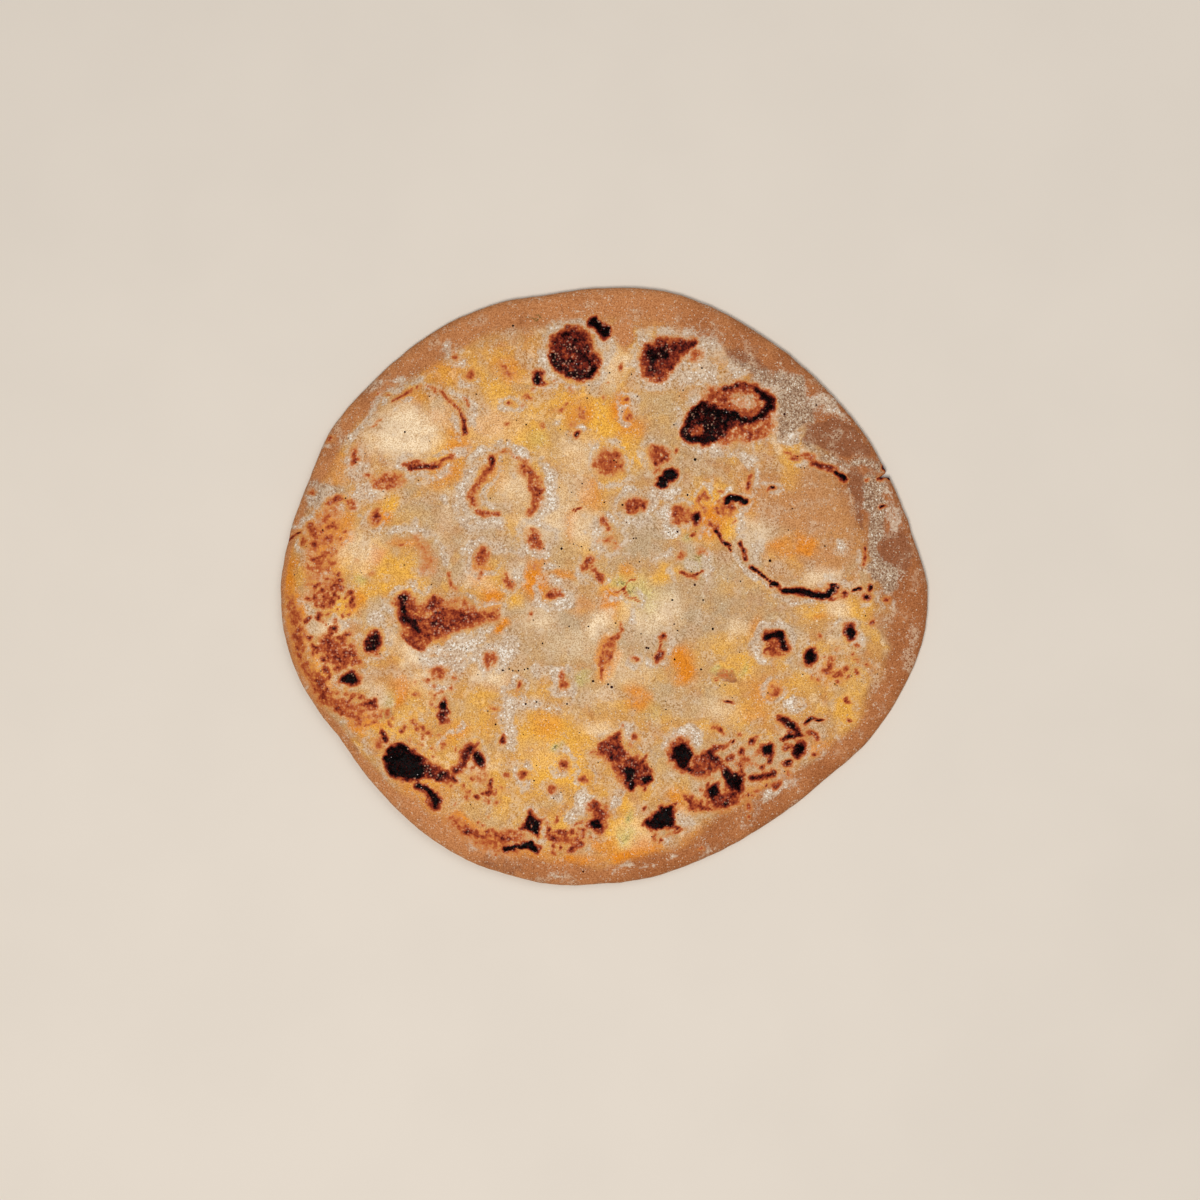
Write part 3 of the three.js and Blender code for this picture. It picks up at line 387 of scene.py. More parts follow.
ORANGE_SPOTS = (
    (38, -30.6, 4, 2.4, 0, 30), (18.4, -54, 2.4, 3.4, 0, 60), (38, -50.5, 3.4, 2, -20, 40),
    (45, -46, 3, 2, 20, 35), (54, -39.5, 3, 1.6, 20, 50), (-34, -59.5, 5, 2.4, -30, 90),
    (-20, -66.5, 6, 1.8, 0, 60), (-45, -50, 12, 5, -50, 35), (-37, -36, 3, 3, 0, 40),
    (-38, -55, 5, 3, -30, 15), (7, 40, 3.4, 3, 0, 55), (-6.5, 43.5, 3, 4, 0, 50),
    (-67.5, 31, 4, 2.6, 90, 40), (-37, 36, 3, 3.6, 0, 50), (-48, 47.5, 4, 2, 10, 30),
    (-60, 23.5, 3.4, 2, 0, 40), (-39, 29, 4, 3, 20, 42), (-27, 29, 3, 4, 0, 30),
    (-25.3, -10, 1.9, 1.7, 0, 90), (-16.4, 1.6, 4.6, 3, 90, 80), (-10, 3, 2.8, 1.2, 0, 50),
    (-8.6, 15.2, 3.4, 1.9, 90, 55), (5.7, 3.3, 2.2, 1.5, 20, 60), (37.5, -10, 2, 2, 0, 40),
    (-5.6, -4.5, 3.4, 2.6, 0, 25), (26, 17.6, 4.5, 3, 0, 70), (36, 22, 4, 4, 0, 35), (-28, 41, 5, 3, 0, 30),
    (0.7, -3.4, 2.6, 3.4, 0, 80), (20.2, -19.2, 4.2, 3.2, 90, 80), (20.6, -20, 2.8, 2.2, 90, 120),
    (8.4, -27.4, 2.9, 2.4, 90, 65), (1, -17, 4.6, 2.4, 80, 85), (50, 11, 3.2, 2.5, 0, 90),
    (44, 9.5, 4.5, 3, 0, 50), (54, -8, 1.6, 1, 0, 50), (39, 39.6, 4, 2.2, 10, 60), (25, 15, 3.4, 2.8, 0, 80),
    (5, 44, 2.8, 4.4, 0, 80), (-42, 55, 8, 4, -10, 22), (-28.5, -3, 2.6, 3, 0, 85), (-31, 3.6, 2, 3, 0, 70),
    (0, -64, 5, 2, 0, 50), (-57, -32, 3.2, 2.4, 0, 80), (30, 19, 2.6, 2.2, 0, 80),
    (-37.5, -60.5, 5, 2.2, -38, 90), (-29, -63.5, 4.4, 1.8, -20, 70), (6, -66.8, 5, 2.3, 0, 100),
    (11, -64.3, 3.4, 2.4, -20, 85), (-10, -69, 9, 1.8, 8, 80), (28, -61, 20, 2.4, 24, 35),
    (-30, -66, 10, 2.2, -18, 55), (-24, 60, 8, 5, 0, 12), (-10, 70, 3.6, 2.4, 0, 50),
    (-24, 54.2, 4, 2.2, -40, 45), (-3.5, 24, 4, 3, 90, 50), (-14.5, -34, 3, 3, 0, 35),
    (55, -21, 3.5, 3, -30, 35), (40.5, -25.6, 4, 2.6, 0, 40), (-40, 43, 3, 3, 0, 30),
    (-43, 55, 6, 2, 10, 40), (-64.4, 17, 2, 4.4, 0, 55), (-65.4, 12.4, 2.2, 2, 0, 85),
    (-57, 7.8, 1.6, 2.4, -35, 100), (-49.4, 11.4, 3.6, 1.2, -5, 50), (-61, -4, 2, 2, 0, 70),
    (-67.6, 6, 2, 2.4, 0, 50), (-55.4, 17.4, 2.4, 2, 0, 90), (-51, -26.5, 2.2, 3, -20, 60),
    (-71.6, -17.4, 1, 3, 20, 60), (-62, -34, 3, 1.6, -20, 70), (-78.6, 1, 2.4, 8, 0, 80),
    (-77, -9, 3, 9, 8, 70), (-72.5, -23, 3, 7, 30, 60), (-70, 13, 4.6, 9, -5, 55), (-68.5, 28, 4, 2, 0, 40),
)
CREAM_SPOTS = (
    (-48, -17, 3, 3, 0, 40), (9, -4, 5, 5, 0, 50), (0, -27, 3, 2.4, 0, 40), (28, -30, 5, 3, 0, 35),
    (-31, -44, 4, 2, 0, 40), (-50.2, 37.9, 7.2, 5.6, 15, 100), (-41, 43.6, 3, 3.4, 0, 35),
    (1.6, 55.4, 5, 3.4, 90, 45), (5, 57, 3, 2.4, 0, 40), (13.6, -5.6, 4.5, 4.5, 30, 60),
    (10, -8, 3, 3, 0, 50), (-1.4, -9.4, 3.4, 2.6, 60, 80), (-16, -8, 4, 3.4, 0, 50),
    (-21.5, 3.5, 2.4, 2.4, 0, 50), (54.5, 3, 3.6, 2.2, 10, 100), (58.5, -5.5, 3, 2.5, 0, 50),
    (20.5, -58, 3, 2.4, 0, 30), (-15, -42, 5, 3.4, 0, 12), (-1, -34.5, 4, 2, 0, 40), (7.5, -61, 4, 3, 0, 30),
    (32.5, -9.7, 2.6, 2.2, 0, 45), (36.8, 13.6, 3.4, 4, 0, 60), (-32, 2, 4.5, 1.6, -30, 30),
    (-6, 33, 5, 4, 0, 35), (-5, 15, 4, 4, 0, 50), (6, -20, 5, 4, 0, 35), (-28.5, -22.5, 4, 2.6, 0, 60),
    # (73.2, 22) on the right rim is a painted highlight
    (-15, 16, 6, 4, 0, 50), (73.2, 22, 4, 1.1, -70, 90), (55.5, 45.6, 4.4, 2.6, -20, 80),
    (30, 60, 5, 2, -50, 45), (-39.5, 17.5, 2, 6, 0, 30), (-12, 20, 5, 2, 0, 40), (8, -57, 1.8, 3, 0, 20),
    (-22, 24.5, 4, 4, 0, 40), (-28, 41, 6, 5, 0, 30), (-8, 25, 4, 4, 0, 30), (-8, -14, 6, 3, 0, 25),
    (-60.8, 9.6, 5, 4.4, 0, 45), (-62.6, 5.6, 2.6, 2, 0, 20), (-57.5, 23.6, 2.4, 0.9, 15, 90),
    (-47.5, -17, 3.2, 3.4, 0, 85), (-56, -27.4, 2.4, 2.4, 0, 50), (-67.5, -9.4, 4, 1.8, 10, 50),
    (-59, -24, 2, 1.4, 0, 40), (-44, -24, 6, 3, 0, 30), (-53, -14, 1.4, 3, 20, 40),
)
GREY_SPOTS = (
    (16, -8, 30, 16, 10, 55), (-8, 14, 26, 14, 0, 40), (-16, -12, 16, 9, 0, 50), (16, 38, 12, 12, 0, 45),
    (-40, 14, 18, 10, 0, 40), (9, 13, 6, 6, 0, 90), (-10, -12, 8, 6, 90, 70), (22, -6.5, 4.4, 3, 0, 90),
    (22.6, 7.4, 3.7, 3.6, 0, 130), (-10, -8.6, 3.4, 3.6, 0, 90), (37.5, 6.6, 3, 4, 0, 60),
    (34.6, 46.4, 4, 2.2, -24, 120), (26, -28, 3.6, 4, 0, 70), (15, -26, 4.6, 2.4, 0, 70),
    (-5, -22.6, 1.8, 1.8, 0, 120), (14, -26, 6, 3, 0, 100), (14.5, 46, 5.5, 4, 0, 70),
    (36.5, 11, 5, 3.2, 80, 80), (-5, -25, 3, 3, 0, 80), (45, -10, 5, 2.6, 0, 60), (36, -43, 6, 4, 0, 80),
    (24, -49, 5, 2.6, 0, 60), (30, -43.6, 18, 5, 0, 80), (-38, -54.5, 4, 2.6, -30, 60),
    (-30, -57, 8, 3.6, -20, 40), (49, -42, 4, 3, 0, 40), (-25, 26, 4, 6, 0, 30), (20, 42.5, 3, 2, 0, 50),
    (-5, -67, 3, 2, 0, 60), (-20, -11, 6, 5, 0, 30), (33, -35, 5, 4, 0, 20), (-47, 18, 8, 3, 0, 55),
    (22, -30, 8, 3.4, 0, 55), (-56.5, -5.6, 2.4, 1.8, 0, 110), (-58, -8.4, 1.8, 1.6, 0, 100),
    (-48.6, 25, 2, 4, 0, 60), (-70, 22, 4, 4, 0, 70), (-69.9, -19, 0.9, 0.9, 0, 120),
    (-69, -10, 4, 2, 0, 40), (-62, -24, 3, 1.4, 0, 40),
)
GREEN_SPOTS = (
    (9, -1.5, 5, 4, -20, 45), (22.5, 6.4, 3.4, 2.6, 0, 35), (24.3, 8.8, 1.1, 1, 0, 130),
    (6, -0.6, 3.4, 1.6, -40, 80), (11, -1.5, 2.6, 2.4, 0, 40), (-17.5, 67.3, 2.3, 0.6, 0, 150),
    (-54, -28, 2.6, 1.2, 60, 35), (-54.2, -31, 1.2, 0.8, 50, 140), (30, -21.4, 2.4, 1.4, 0, 130),
    (35.6, -20.4, 0.8, 1.8, -20, 70), (-12, -40, 1.4, 1, 40, 90), (6, -61.5, 2.4, 1.6, 0, 50),
    (6, -57.5, 1.6, 0.8, 90, 70), (21.5, 13, 2, 1, 20, 80), (-17, 36.5, 3, 2, 0, 30),
    (-60.5, 2.5, 2, 1.4, 0, 50), (3, 1.6, 3, 1.4, 30, 50), (-5, -22.6, 1.4, 1.4, 0, 70),
    (12, -31, 4, 2, 0, 20),
)
# In the order in which they are laid over each other
FILLING_SPOTS = {"grey": GREY_SPOTS, "yellow": YELLOW_SPOTS, "orange": ORANGE_SPOTS, "cream": CREAM_SPOTS,
                 "green": GREEN_SPOTS}

# Smooth tan dough, and dough that browned evenly, with the two bare patches beside the tear
TAN_SPOTS = (
    (50, 22, 15, 9, -10, 100), (55, 12, 9, 9, 90, 80), (40, 28, 8, 4, 0, 50), (45, 4, 5, 3, 0, 50),
    (-65, 47, 6, 4, 60, 50), (-24, 64, 10, 5, 20, 30), (2, 67, 10, 3, 0, 50), (33, 55, 8, 4, -35, 40),
    (-39, 17, 5, 5, 0, 30), (55, -36, 8, 6, 0, 30), (-58, -47, 7, 3, -50, 40), (-62.8, -9.4, 2.4, 2, 0, 60),
    (-56, -21.5, 6, 2.4, -5, 50), (-44, 6.4, 2.8, 4, 0, 70), (-61.5, 31, 3.4, 5, 0, 70),
)
BROWN_SPOTS = (
    (73, 9, 7, 4.4, -75, 75), (36, 56.4, 7, 2.2, -30, 70), (75, 4, 5, 3, 90, 40), (42, 57, 10, 2.5, -35, 30),
    (-58, 49, 8, 2.5, 48, 35), (-46, -59, 6, 2, -40, 30), (-26, -69, 8, 2, -18, 50),
    (-63, -39.5, 4, 1.6, -50, 35), (-58, -37, 3, 2, -40, 30), (34.6, 46.4, 4, 2.2, -24, 50),
    # (31, 33.8) is painted shade in the flour band below the looped scorch
    (31, 33.8, 6, 1.8, 5, 35), (30.5, -22.2, 3.2, 1.3, -8, 70), (-53.6, -31.6, 1.6, 0.9, 40, 70),
    (24.3, 8.6, 1.3, 1.1, 0, 70),
)
BROWN_PATCHES = (
    # The first patch is darker brown dough, partly painted shade beside the dust
    (100, 49.2, 36.4, 50.8, 40.4, 57, 42.6, 61, 41.6, 64.4, 38, 67, 33.4, 61, 32.8, 54, 34.4),
    (100, 60.8, 29.6, 63, 30.4, 66, 27.4, 64.6, 22, 64, 18, 64.6, 14, 62.4, 17, 62.8, 22, 60.4, 26.5),
)
# Where the plain border runs in between the two round scorches
BAY_SPOTS = ((4.5, 64, 3, 4.4, 0, 100),)

# Cracks and creases in the skin: lines whose strength is their depth in hundredths of a mm
CREASE_LINES = (
    (0.5, 50, -79.6, 10.8, -78.4, 12.6, -77, 13.9, -75.6, 14),
    (0.5, 30, -57.4, 52.6, -56.2, 51.2, -54.6, 49.5), (0.5, 30, -65, -38.4, -60.3, -38.3),
    (0.5, 25, -45, -17.3, -40, -17.2, -35.5, -17.9), (0.5, 35, 3, -1.6, 5.4, -1.2, 7, -2.2, 8.3, -3.7),
    (0.5, 25, -1.5, 44, 1, 43, 2.5, 41.6, 4, 40.6), (0.5, 25, -14.5, -42, -12.6, -41, -11.6, -39.6),
    (0.5, 25, 4.6, -62.6, 6, -61, 7.4, -60),
    (0.6, 50, 27.9, 14.2, 30.2, 11, 31.3, 9.5, 34.4, 6, 37.6, 3.2, 41.5, 0.4, 45, -1.6),
    (0.6, 40, 45, -1.8, 49.5, -2.3, 55, -2.6, 59, -2.4), (0.5, 40, 72.3, 27.8, 70.6, 28.3, 68.6, 27.2),
    (0.5, 30, -31, -29, -29.6, -33, -29, -37), (0.5, 25, 33.5, 44.5, 36, 42.5, 37.5, 41),
)

# Black pin dots that stand alone: x, y, radius in mm
PIN_DOTS = (
    (41.3, 6.8, 0.4), (-10.6, 9.8, 0.3), (-15.3, -13.8, 0.28), (10.6, -14.9, 0.35), (11.1, -15, 0.25),
    (27.1, -10.2, 0.35), (22.6, 0.8, 0.3), (8, 12.4, 0.2), (7.3, 12.3, 0.2), (4.6, 20.7, 0.28),
    (18.3, 14, 0.28), (20.8, 23.2, 0.28), (17, -3, 0.28), (24.7, -3, 0.24), (18.3, -10.6, 0.25),
    (17.6, -17.8, 0.28), (24.2, -20.3, 0.28), (1.9, -24.7, 0.35), (1, -24, 0.28), (-2.7, -23.2, 0.3),
    (22.7, 32, 0.35), (-49.5, 38.8, 0.32), (-22.7, 65.4, 0.32), (-8.7, -9.6, 0.2), (-3.9, -9.6, 0.22),
    (17.5, -9, 0.24), (9.2, -11.4, 0.22), (-5.2, -70.8, 0.3), (-27, -34, 0.24), (24.4, 54.8, 0.26),
    (45, 43.3, 0.32), (53, 45.7, 0.3), (-4.2, 47.3, 0.24), (1.4, 53.6, 0.24), (-19.4, 40.7, 0.24),
    (-22.7, -20.6, 0.26), (-25.2, -20.5, 0.3), (-23.6, -20.2, 0.28), (-21.3, -20.6, 0.24),
    (-19.8, -20.3, 0.28), (-19, -20.1, 0.24), (-16.8, -28.4, 0.3), (-19.5, -28.9, 0.28), (46.8, 19.7, 0.24),
    (-9.2, -28.9, 0.28), (-12.5, -52.4, 0.26),
)

# Outline and rounded edge, in mm, as on the solid that the bread replaces
SECTORS = 108  # the solid's outline has this many straight sides
ON_SECTOR = 0.05  # how far off a sector's bearing its corners may lie, as a share of a sector
NOMINAL_RADIUS = 77.0
TOP_ROUND = 3.2  # how far in from the outline the upper round starts
FOOT_ROUND = 1.8  # how far inside the outline the foot lies
EDGE_LEVEL = 0.42  # where the edge is widest, as a share of the thickness
EDGE_RIPPLE = 0.3
EDGE_RIPPLE_GRAIN = 5
BORDER_SHIFT = 4.0  # how much wider the border is at BORDER_BEARING
BORDER_BEARING = math.radians(15)
TEAR_BEARING = math.radians(21.8)
TEAR_HALF_MOUTH = 0.6
TEAR_DEPTH = 2.4

# Relief of the upper skin, in mm
SWELL = 0.3  # height of the long waves
BLISTER_SLOPE = (0.3, 1.15)  # where a blister falls off, in half sizes from its middle
LUMP_LAYERS = ((6.0, 1.0), (2.5, 0.45), (1.2, 0.3))  # grain of each layer, and its share of the height
CRUST_TOAST = (0.45, 0.95)  # the toast between which a crust rises
CRACKLE_GRAIN = 1.1
FLOUR_RELIEF = 0.1

# The border's colour: how wide it is in mm and how brown, every 30 degrees from +X. The browning is partly
# real and partly painted shade, darkest towards +X.
BORDER_TONE_WIDTHS = (12, 12, 10, 8, 7, 5, 0.8, 2, 7, 5, 8, 6)
BORDER_BROWNING_AND_SHADE = (0.7, 0.65, 0.5, 0.12, 0.3, 0.3, 0.0, 0.15, 0.32, 0.42, 0.66, 0.5)

# Mesh of the bread
TOP_CELLS = 280  # cells along each side of the upper skin's grid
UNDER_CELLS = 70  # the same below: a quarter of TOP_CELLS, so that the rims can be stitched
UPPER_ROUND_STEPS = 6
LOWER_ROUND_STEPS = 4

# Underside
HOLLOW_DEPTH = 0.4
HOLLOW_GRAIN = 16
UNDER_SCORCHES = 90
UNDER_SCORCH_REACH = 70
UNDER_SOFTNESS = 3.0
UNDER_BORDER = (3, 11)  # how far in its border fades out
UNDER_TINT_STRENGTH = 0.6
# Its tints: field, grain in mm, and the noise level where it begins
UNDER_TINTS = (
    ("flour", 14, 0.58), ("yellow", 16, 0.45), ("orange", 9, 0.6), ("cream", 11, 0.55), ("grey", 18, 0.45))

# The bake's map: two discs in opposite corners, with the edge round the upper one
TOP_MAP_RADIUS = 0.37
EDGE_MAP_RADIUS = 0.403
STITCH_MAP_RADIUS = 0.405
UNDER_MAP_RADIUS = 0.17
MAP_MARGIN = 0.004

# How the marks are brushed on, in mm
RAGGED = ((3.0, 1.1), (1.3, 0.75))  # noises that make outlines ragged: grain and reach
DRIFT = (6, 2.6)  # one more for flour and filling
FLOUR_SOFTNESS = 1.4
DUST_SOFTNESS = 1.3
FILLING_SOFTNESS = (1.2, 0.75)  # the second is its least share of a mark's half width
DOUGH_SOFTNESS = (0.8, 0.35)
CREASE_SOFTNESS = 0.4
GAP_SOFTNESS = 0.6
PATCH_HALF = 4  # half width that a patch counts as
FULL_STRENGTH = 100  # in the tables of marks
RING_POINTS = 17
GLOW_WIDTH = 1.2  # how far a scorch fades past its outline
CHAR_INSET = 2.0  # how far inside its outline a large scorch is darkest
RING_REACH = 2.8  # how far flour and glow reach round a scorch
RINGED_TOAST = 0.4  # toast past which a scorch has them
GLOW_TOAST = 0.15
FRECKLE_HALF = (0.3, 0.8)  # half width of a freckle

LATTICE = 512  # corners along each side of a random lattice
LAYER_TURN = math.radians(40)  # between one layer of noise and the next
NOISE_SPREAD = 0.85
SEEDS = {"wander": 3, "lumps": 17, "halo": 29, "under": 41, "rim": 53, "flour": 61, "char": 71, "specks": 83,
         "freckles": 97, "tints": 111}


def length(name, description, millimetres):
    """A length setting, given in millimetres and kept in metres."""
    return bpy.props.FloatProperty(
        name=name, description=description, default=millimetres * MM, unit="LENGTH")


def amount(name, description, default):
    """A setting for how many there are."""
    return bpy.props.IntProperty(name=name, description=description, default=default, min=0)


def colour(name, description, red, green, blue):
    """A colour setting."""
    return bpy.props.FloatVectorProperty(
        name=name, description=description, default=(red, green, blue), min=0, max=1, subtype="COLOR")


class BreadSizes(bpy.types.PropertyGroup):
    """Sizes of the bread. Its outline comes from the CAD solid."""

    edge_thickness: length("Edge thickness", "Plain dough at the outline", 3.6)
    middle_thickness: length("Middle thickness", "Two skins with the filling between them", 6.4)
    border_width: length("Border width", "Plain dough outside the filling, on average", 8)
    lump_height: length("Lump height", "How far the filling pushes small lumps up", 0.22)
    crust_height: length("Crust height", "How far a black scorch stands up", 0.28)
    flour_size: length("Flour size", "Mean radius of a loose clump of flour", 0.12)
    char_size: length("Char size", "Mean radius of a burnt granule", 0.16)
    flour_grains: amount("Flour clumps", "On the upper skin", 9000)
    char_grains: amount("Burnt granules", "On black scorches", 2200)
    loose_specks: amount("Loose specks", "Burnt pin dots", 160)


class BreadColours(bpy.types.PropertyGroup):
    """Colours of the dough, the filling that shows through it, the flour and the toast."""

    skin: colour("Skin", "Griddled dough", 0.55, 0.28, 0.09)
    border: colour("Border", "Plain dough round the edge", 0.51, 0.21, 0.08)
    # Browned border: partly real browning, partly painted shade on the rim
    browned: colour("Browned border", "Where it browned more, with painted shade", 0.36, 0.128, 0.045)
    tan: colour("Tan dough", "Smooth dough of the broad blister", 0.50, 0.23, 0.09)
    brown: colour("Brown dough", "Where it browned evenly", 0.27, 0.1, 0.044)
    cream: colour("Cream dough", "Pale, raised dough", 0.82, 0.63, 0.41)
    grey: colour("Grey dough", "Under thin flour", 0.48, 0.34, 0.20)
    yellow: colour("Yellow filling", "Turmeric under the skin", 0.76, 0.39, 0.058)
    orange: colour("Orange filling", "Chilli under the skin", 0.68, 0.23, 0.02)
    green: colour("Green filling", "Herbs under the skin", 0.56, 0.45, 0.15)
    crack: colour("Cracks", "In the skin over the herbs", 0.14, 0.09, 0.02)
    blush: colour("Blush", "Skin that begins to brown", 0.49, 0.20, 0.07)
    fuzz: colour("Rough skin", "With flour worked into it", 0.66, 0.47, 0.31)
    # Painted highlight: pale glint flecks on the skin
    glint: colour("Flecks", "Painted glints on the skin", 0.88, 0.77, 0.60)
    side: colour("Side dough", "Lower half of the edge", 0.62, 0.40, 0.22)
    flour: colour("Flour", "Dry flour", 0.86, 0.81, 0.73)
    flour_wrinkle: colour("Flour in wrinkles", "Along fine wrinkles", 0.74, 0.61, 0.45)
    flour_veil: colour("Flour veil", "Flour that the skin shows through", 0.63, 0.49, 0.36)
    flour_dip: colour("Veil hollows", "Skin between its grains", 0.39, 0.26, 0.17)
    flour_film: colour("Thin flour", "Between thick grains", 0.50, 0.38, 0.26)
    flour_shade: colour("Flour hollows", "Holes in thick flour", 0.38, 0.23, 0.14)
    flour_pits: colour("Flour pits", "Pits in dust", 0.17, 0.085, 0.05)
    amber: colour("Light toast", "First browning", 0.61, 0.24, 0.065)
    rust: colour("Rust toast", "Medium browning", 0.40, 0.08, 0.022)
    dark: colour("Dark toast", "Deep browning", 0.19, 0.022, 0.01)
    maroon: colour("Maroon char", "Edge of the char", 0.045, 0.0055, 0.005)
    black: colour("Black char", "Middle of the char", 0.001, 0.0006, 0.0007)
    # Pale skin flakes on toast, partly painted highlights
    peach: colour("Flakes on toast", "Pale skin and painted highlights on it", 0.66, 0.37, 0.24)
    # Painted highlight: glints on black char
    char_glint: colour("Char glints", "Painted glints on black char", 0.6, 0.52, 0.52)


def smooth_step(value, low, high):
    """0 below low and 1 above high, with 3t^2 - 2t^3 between."""
    t = np.clip((value - low) / (high - low), 0, 1)
    return t * t * (3 - 2 * t)


def lattice_noise(x, y, scale, seed):
    """Random values from 0 to 1 on the corners of a lattice, joined by the fade 6t^5 - 15t^4 + 10t^3."""
    values = np.random.default_rng(seed).random((LATTICE, LATTICE))
    u = x / scale + LATTICE / 2
    v = y / scale + LATTICE / 3
    column = np.floor(u).astype(int)
    row = np.floor(v).astype(int)
    s = u - column
    t = v - row
    s = s * s * s * (s * (6 * s - 15) + 10)
    t = t * t * t * (t * (6 * t - 15) + 10)
    left = column % LATTICE
    right = (column + 1) % LATTICE
    below = values[row % LATTICE, left] * (1 - s) + values[row % LATTICE, right] * s
    above = values[(row + 1) % LATTICE, left] * (1 - s) + values[(row + 1) % LATTICE, right] * s
    return below * (1 - t) + above * t


def noise(x, y, scale, seed, layers=3):
    """Lattice fields added up, each turned and half as wide and strong as the one before."""
    cos = math.cos(LAYER_TURN)
    sin = math.sin(LAYER_TURN)
    total = 0
    weight = 1
    for layer in range(layers):
        total = total + weight * (lattice_noise(x, y, scale / 2**layer, seed + layer) - 0.5)
        x, y = x * cos - y * sin, x * sin + y * cos
        weight = weight / 2
    return 0.5 + NOISE_SPREAD * total


def spot_distance(x, y, spot):
    """Distance from an ellipse's outline: its middle's in half sizes, less 1, times the mean half size."""
    middle_x, middle_y, half_length, half_width, turn = spot[:5]
    cos = math.cos(math.radians(turn))
    sin = math.sin(math.radians(turn))
    along = ((x - middle_x) * cos + (y - middle_y) * sin) / half_length
    across = ((y - middle_y) * cos - (x - middle_x) * sin) / half_width
    return (np.hypot(along, across) - 1) * math.sqrt(half_length * half_width)


def side_distance(x, y, start, end):
    """Distance from a straight side: from the point to its nearest point on the side."""
    run_x = end[0] - start[0]
    run_y = end[1] - start[1]
    share = ((x - start[0]) * run_x + (y - start[1]) * run_y) / (run_x**2 + run_y**2)
    share = np.clip(share, 0, 1)
    return np.hypot(x - start[0] - share * run_x, y - start[1] - share * run_y)


def line_distance(x, y, points, width):
    """Distance from a line through the points, less half its width."""
    sides = [side_distance(x, y, start, end) for start, end in zip(points, points[1:])]
    return np.min(sides, axis=0) - width / 2


def patch_distance(x, y, corners):
    """Distance from a polygon's nearest side, negative where a ray along +X crosses an odd number."""
    inside = np.zeros(x.shape, bool)
    distance = np.full(x.shape, np.inf)
    for start, end in zip(corners, corners[1:] + corners[:1]):
        distance = np.minimum(distance, side_distance(x, y, start, end))
        if start[1] != end[1]:
            crossing = start[0] + (y - start[1]) * (end[0] - start[0]) / (end[1] - start[1])
            inside ^= ((start[1] > y) != (end[1] > y)) & (x < crossing)
    return np.where(inside, -distance, distance)


class Mark:
    """A brushed mark: its strength, its half width, its distance function and the box that holds it."""

    def __init__(self, strength, half, corners, distance):
        self.strength = strength
        self.half = half
        self.low = np.min(corners, axis=0)
        self.high = np.max(corners, axis=0)
        self.distance = distance

    def within(self, x, y, margin):
        """Numbers of the points inside the box, widened by the margin."""
        in_x = (x > self.low[0] - margin) & (x < self.high[0] + margin)
        return np.flatnonzero(in_x & (y > self.low[1] - margin) & (y < self.high[1] + margin))


def spot_mark(spot):
    """A spot as a mark."""
    x, y, half_length, half_width, _, strength = spot
    reach = max(half_length, half_width)
    half = math.sqrt(half_length * half_width)
    corners = [(x - reach, y - reach), (x + reach, y + reach)]
    return Mark(strength, half, corners, lambda x, y: spot_distance(x, y, spot))


def pairs(numbers):
    """Numbers two by two, as points."""
    return list(zip(numbers[::2], numbers[1::2]))


def line_mark(line):
    """A line as a mark."""
    width, strength, *numbers = line
    points = pairs(numbers)
    return Mark(strength, width / 2, points, lambda x, y: line_distance(x, y, points, width))


def patch_mark(patch):
    """A patch as a mark."""
    strength, *numbers = patch
    corners = pairs(numbers)
    return Mark(strength, PATCH_HALF, corners, lambda x, y: patch_distance(x, y, corners))


def ring_line(middle_x, middle_y, radius, width, strength):
    """A ring as a line that closes on itself."""
    bearing = np.linspace(0, 2 * math.pi, RING_POINTS)
    points = np.column_stack([middle_x + radius * np.cos(bearing), middle_y + radius * np.sin(bearing)])
    return (width, strength, *points.ravel())


def marks(spots=(), lines=(), patches=()):
    """All of them as marks, with their strength in percent made a share."""
    found = [*map(spot_mark, spots), *map(line_mark, lines), *map(patch_mark, patches)]
    for mark in found:
        mark.strength = mark.strength / FULL_STRENGTH
    return found


def brushed(x, y, found, soft, share=0.0):
    """The strongest of the marks at each point. A mark fades out soft mm to either side of its outline, or
    share of its half width if that is more, but hardly more than its half width."""
    field = np.zeros(x.shape)
    for mark in found:
        edge = min(max(soft, share * mark.half), mark.half + 0.25)
        inside = mark.within(x, y, edge + mark.half)
        cover = 1 - smooth_step(mark.distance(x[inside], y[inside]), -edge, edge)
        field[inside] = np.maximum(field[inside], mark.strength * cover)
    return field


def toasted(x, y, found):
    """The deepest toast at each point. Half of a mark's strength comes in across its outline and the rest
    further in, so that a scorch turns from amber to black towards its middle. A faint one spreads wider."""
    field = np.zeros(x.shape)
    for mark in found:
        inside = mark.within(x, y, 1.5 * GLOW_WIDTH + mark.half)
        distance = mark.distance(x[inside], y[inside])
        spread = min(max(1.75 - mark.strength, 1), 1.5)
        glow = min(spread * GLOW_WIDTH, 0.3 + mark.half)
        inset = min(CHAR_INSET, 1.1 * mark.half)
        outer = smooth_step(distance, -0.7 * glow, glow)
        inner = smooth_step(distance, -inset, 0.33 * spread * glow)
        depth = 1 - 0.5 * outer - 0.5 * inner
        field[inside] = np.maximum(field[inside], mark.strength * depth)
    return field


def nearest(x, y, found, reach):
    """Distance from the nearest mark's outline, or the reach where none is that near."""
    field = np.full(x.shape, float(reach))
    for mark in found:
        inside = mark.within(x, y, reach)
        field[inside] = np.minimum(field[inside], mark.distance(x[inside], y[inside]))
    return field


def wander(x, y):
    """The points shifted by noise, so that marks come out ragged."""
    shift_x = 0
    shift_y = 0
    for step, (scale, reach) in enumerate(RAGGED):
        seed = SEEDS["wander"] + 10 * step
        shift_x = shift_x + reach * (lattice_noise(x, y, scale, seed) - 0.5)
        shift_y = shift_y + reach * (lattice_noise(x, y, scale, seed + 5) - 0.5)
    return x + shift_x, y + shift_y


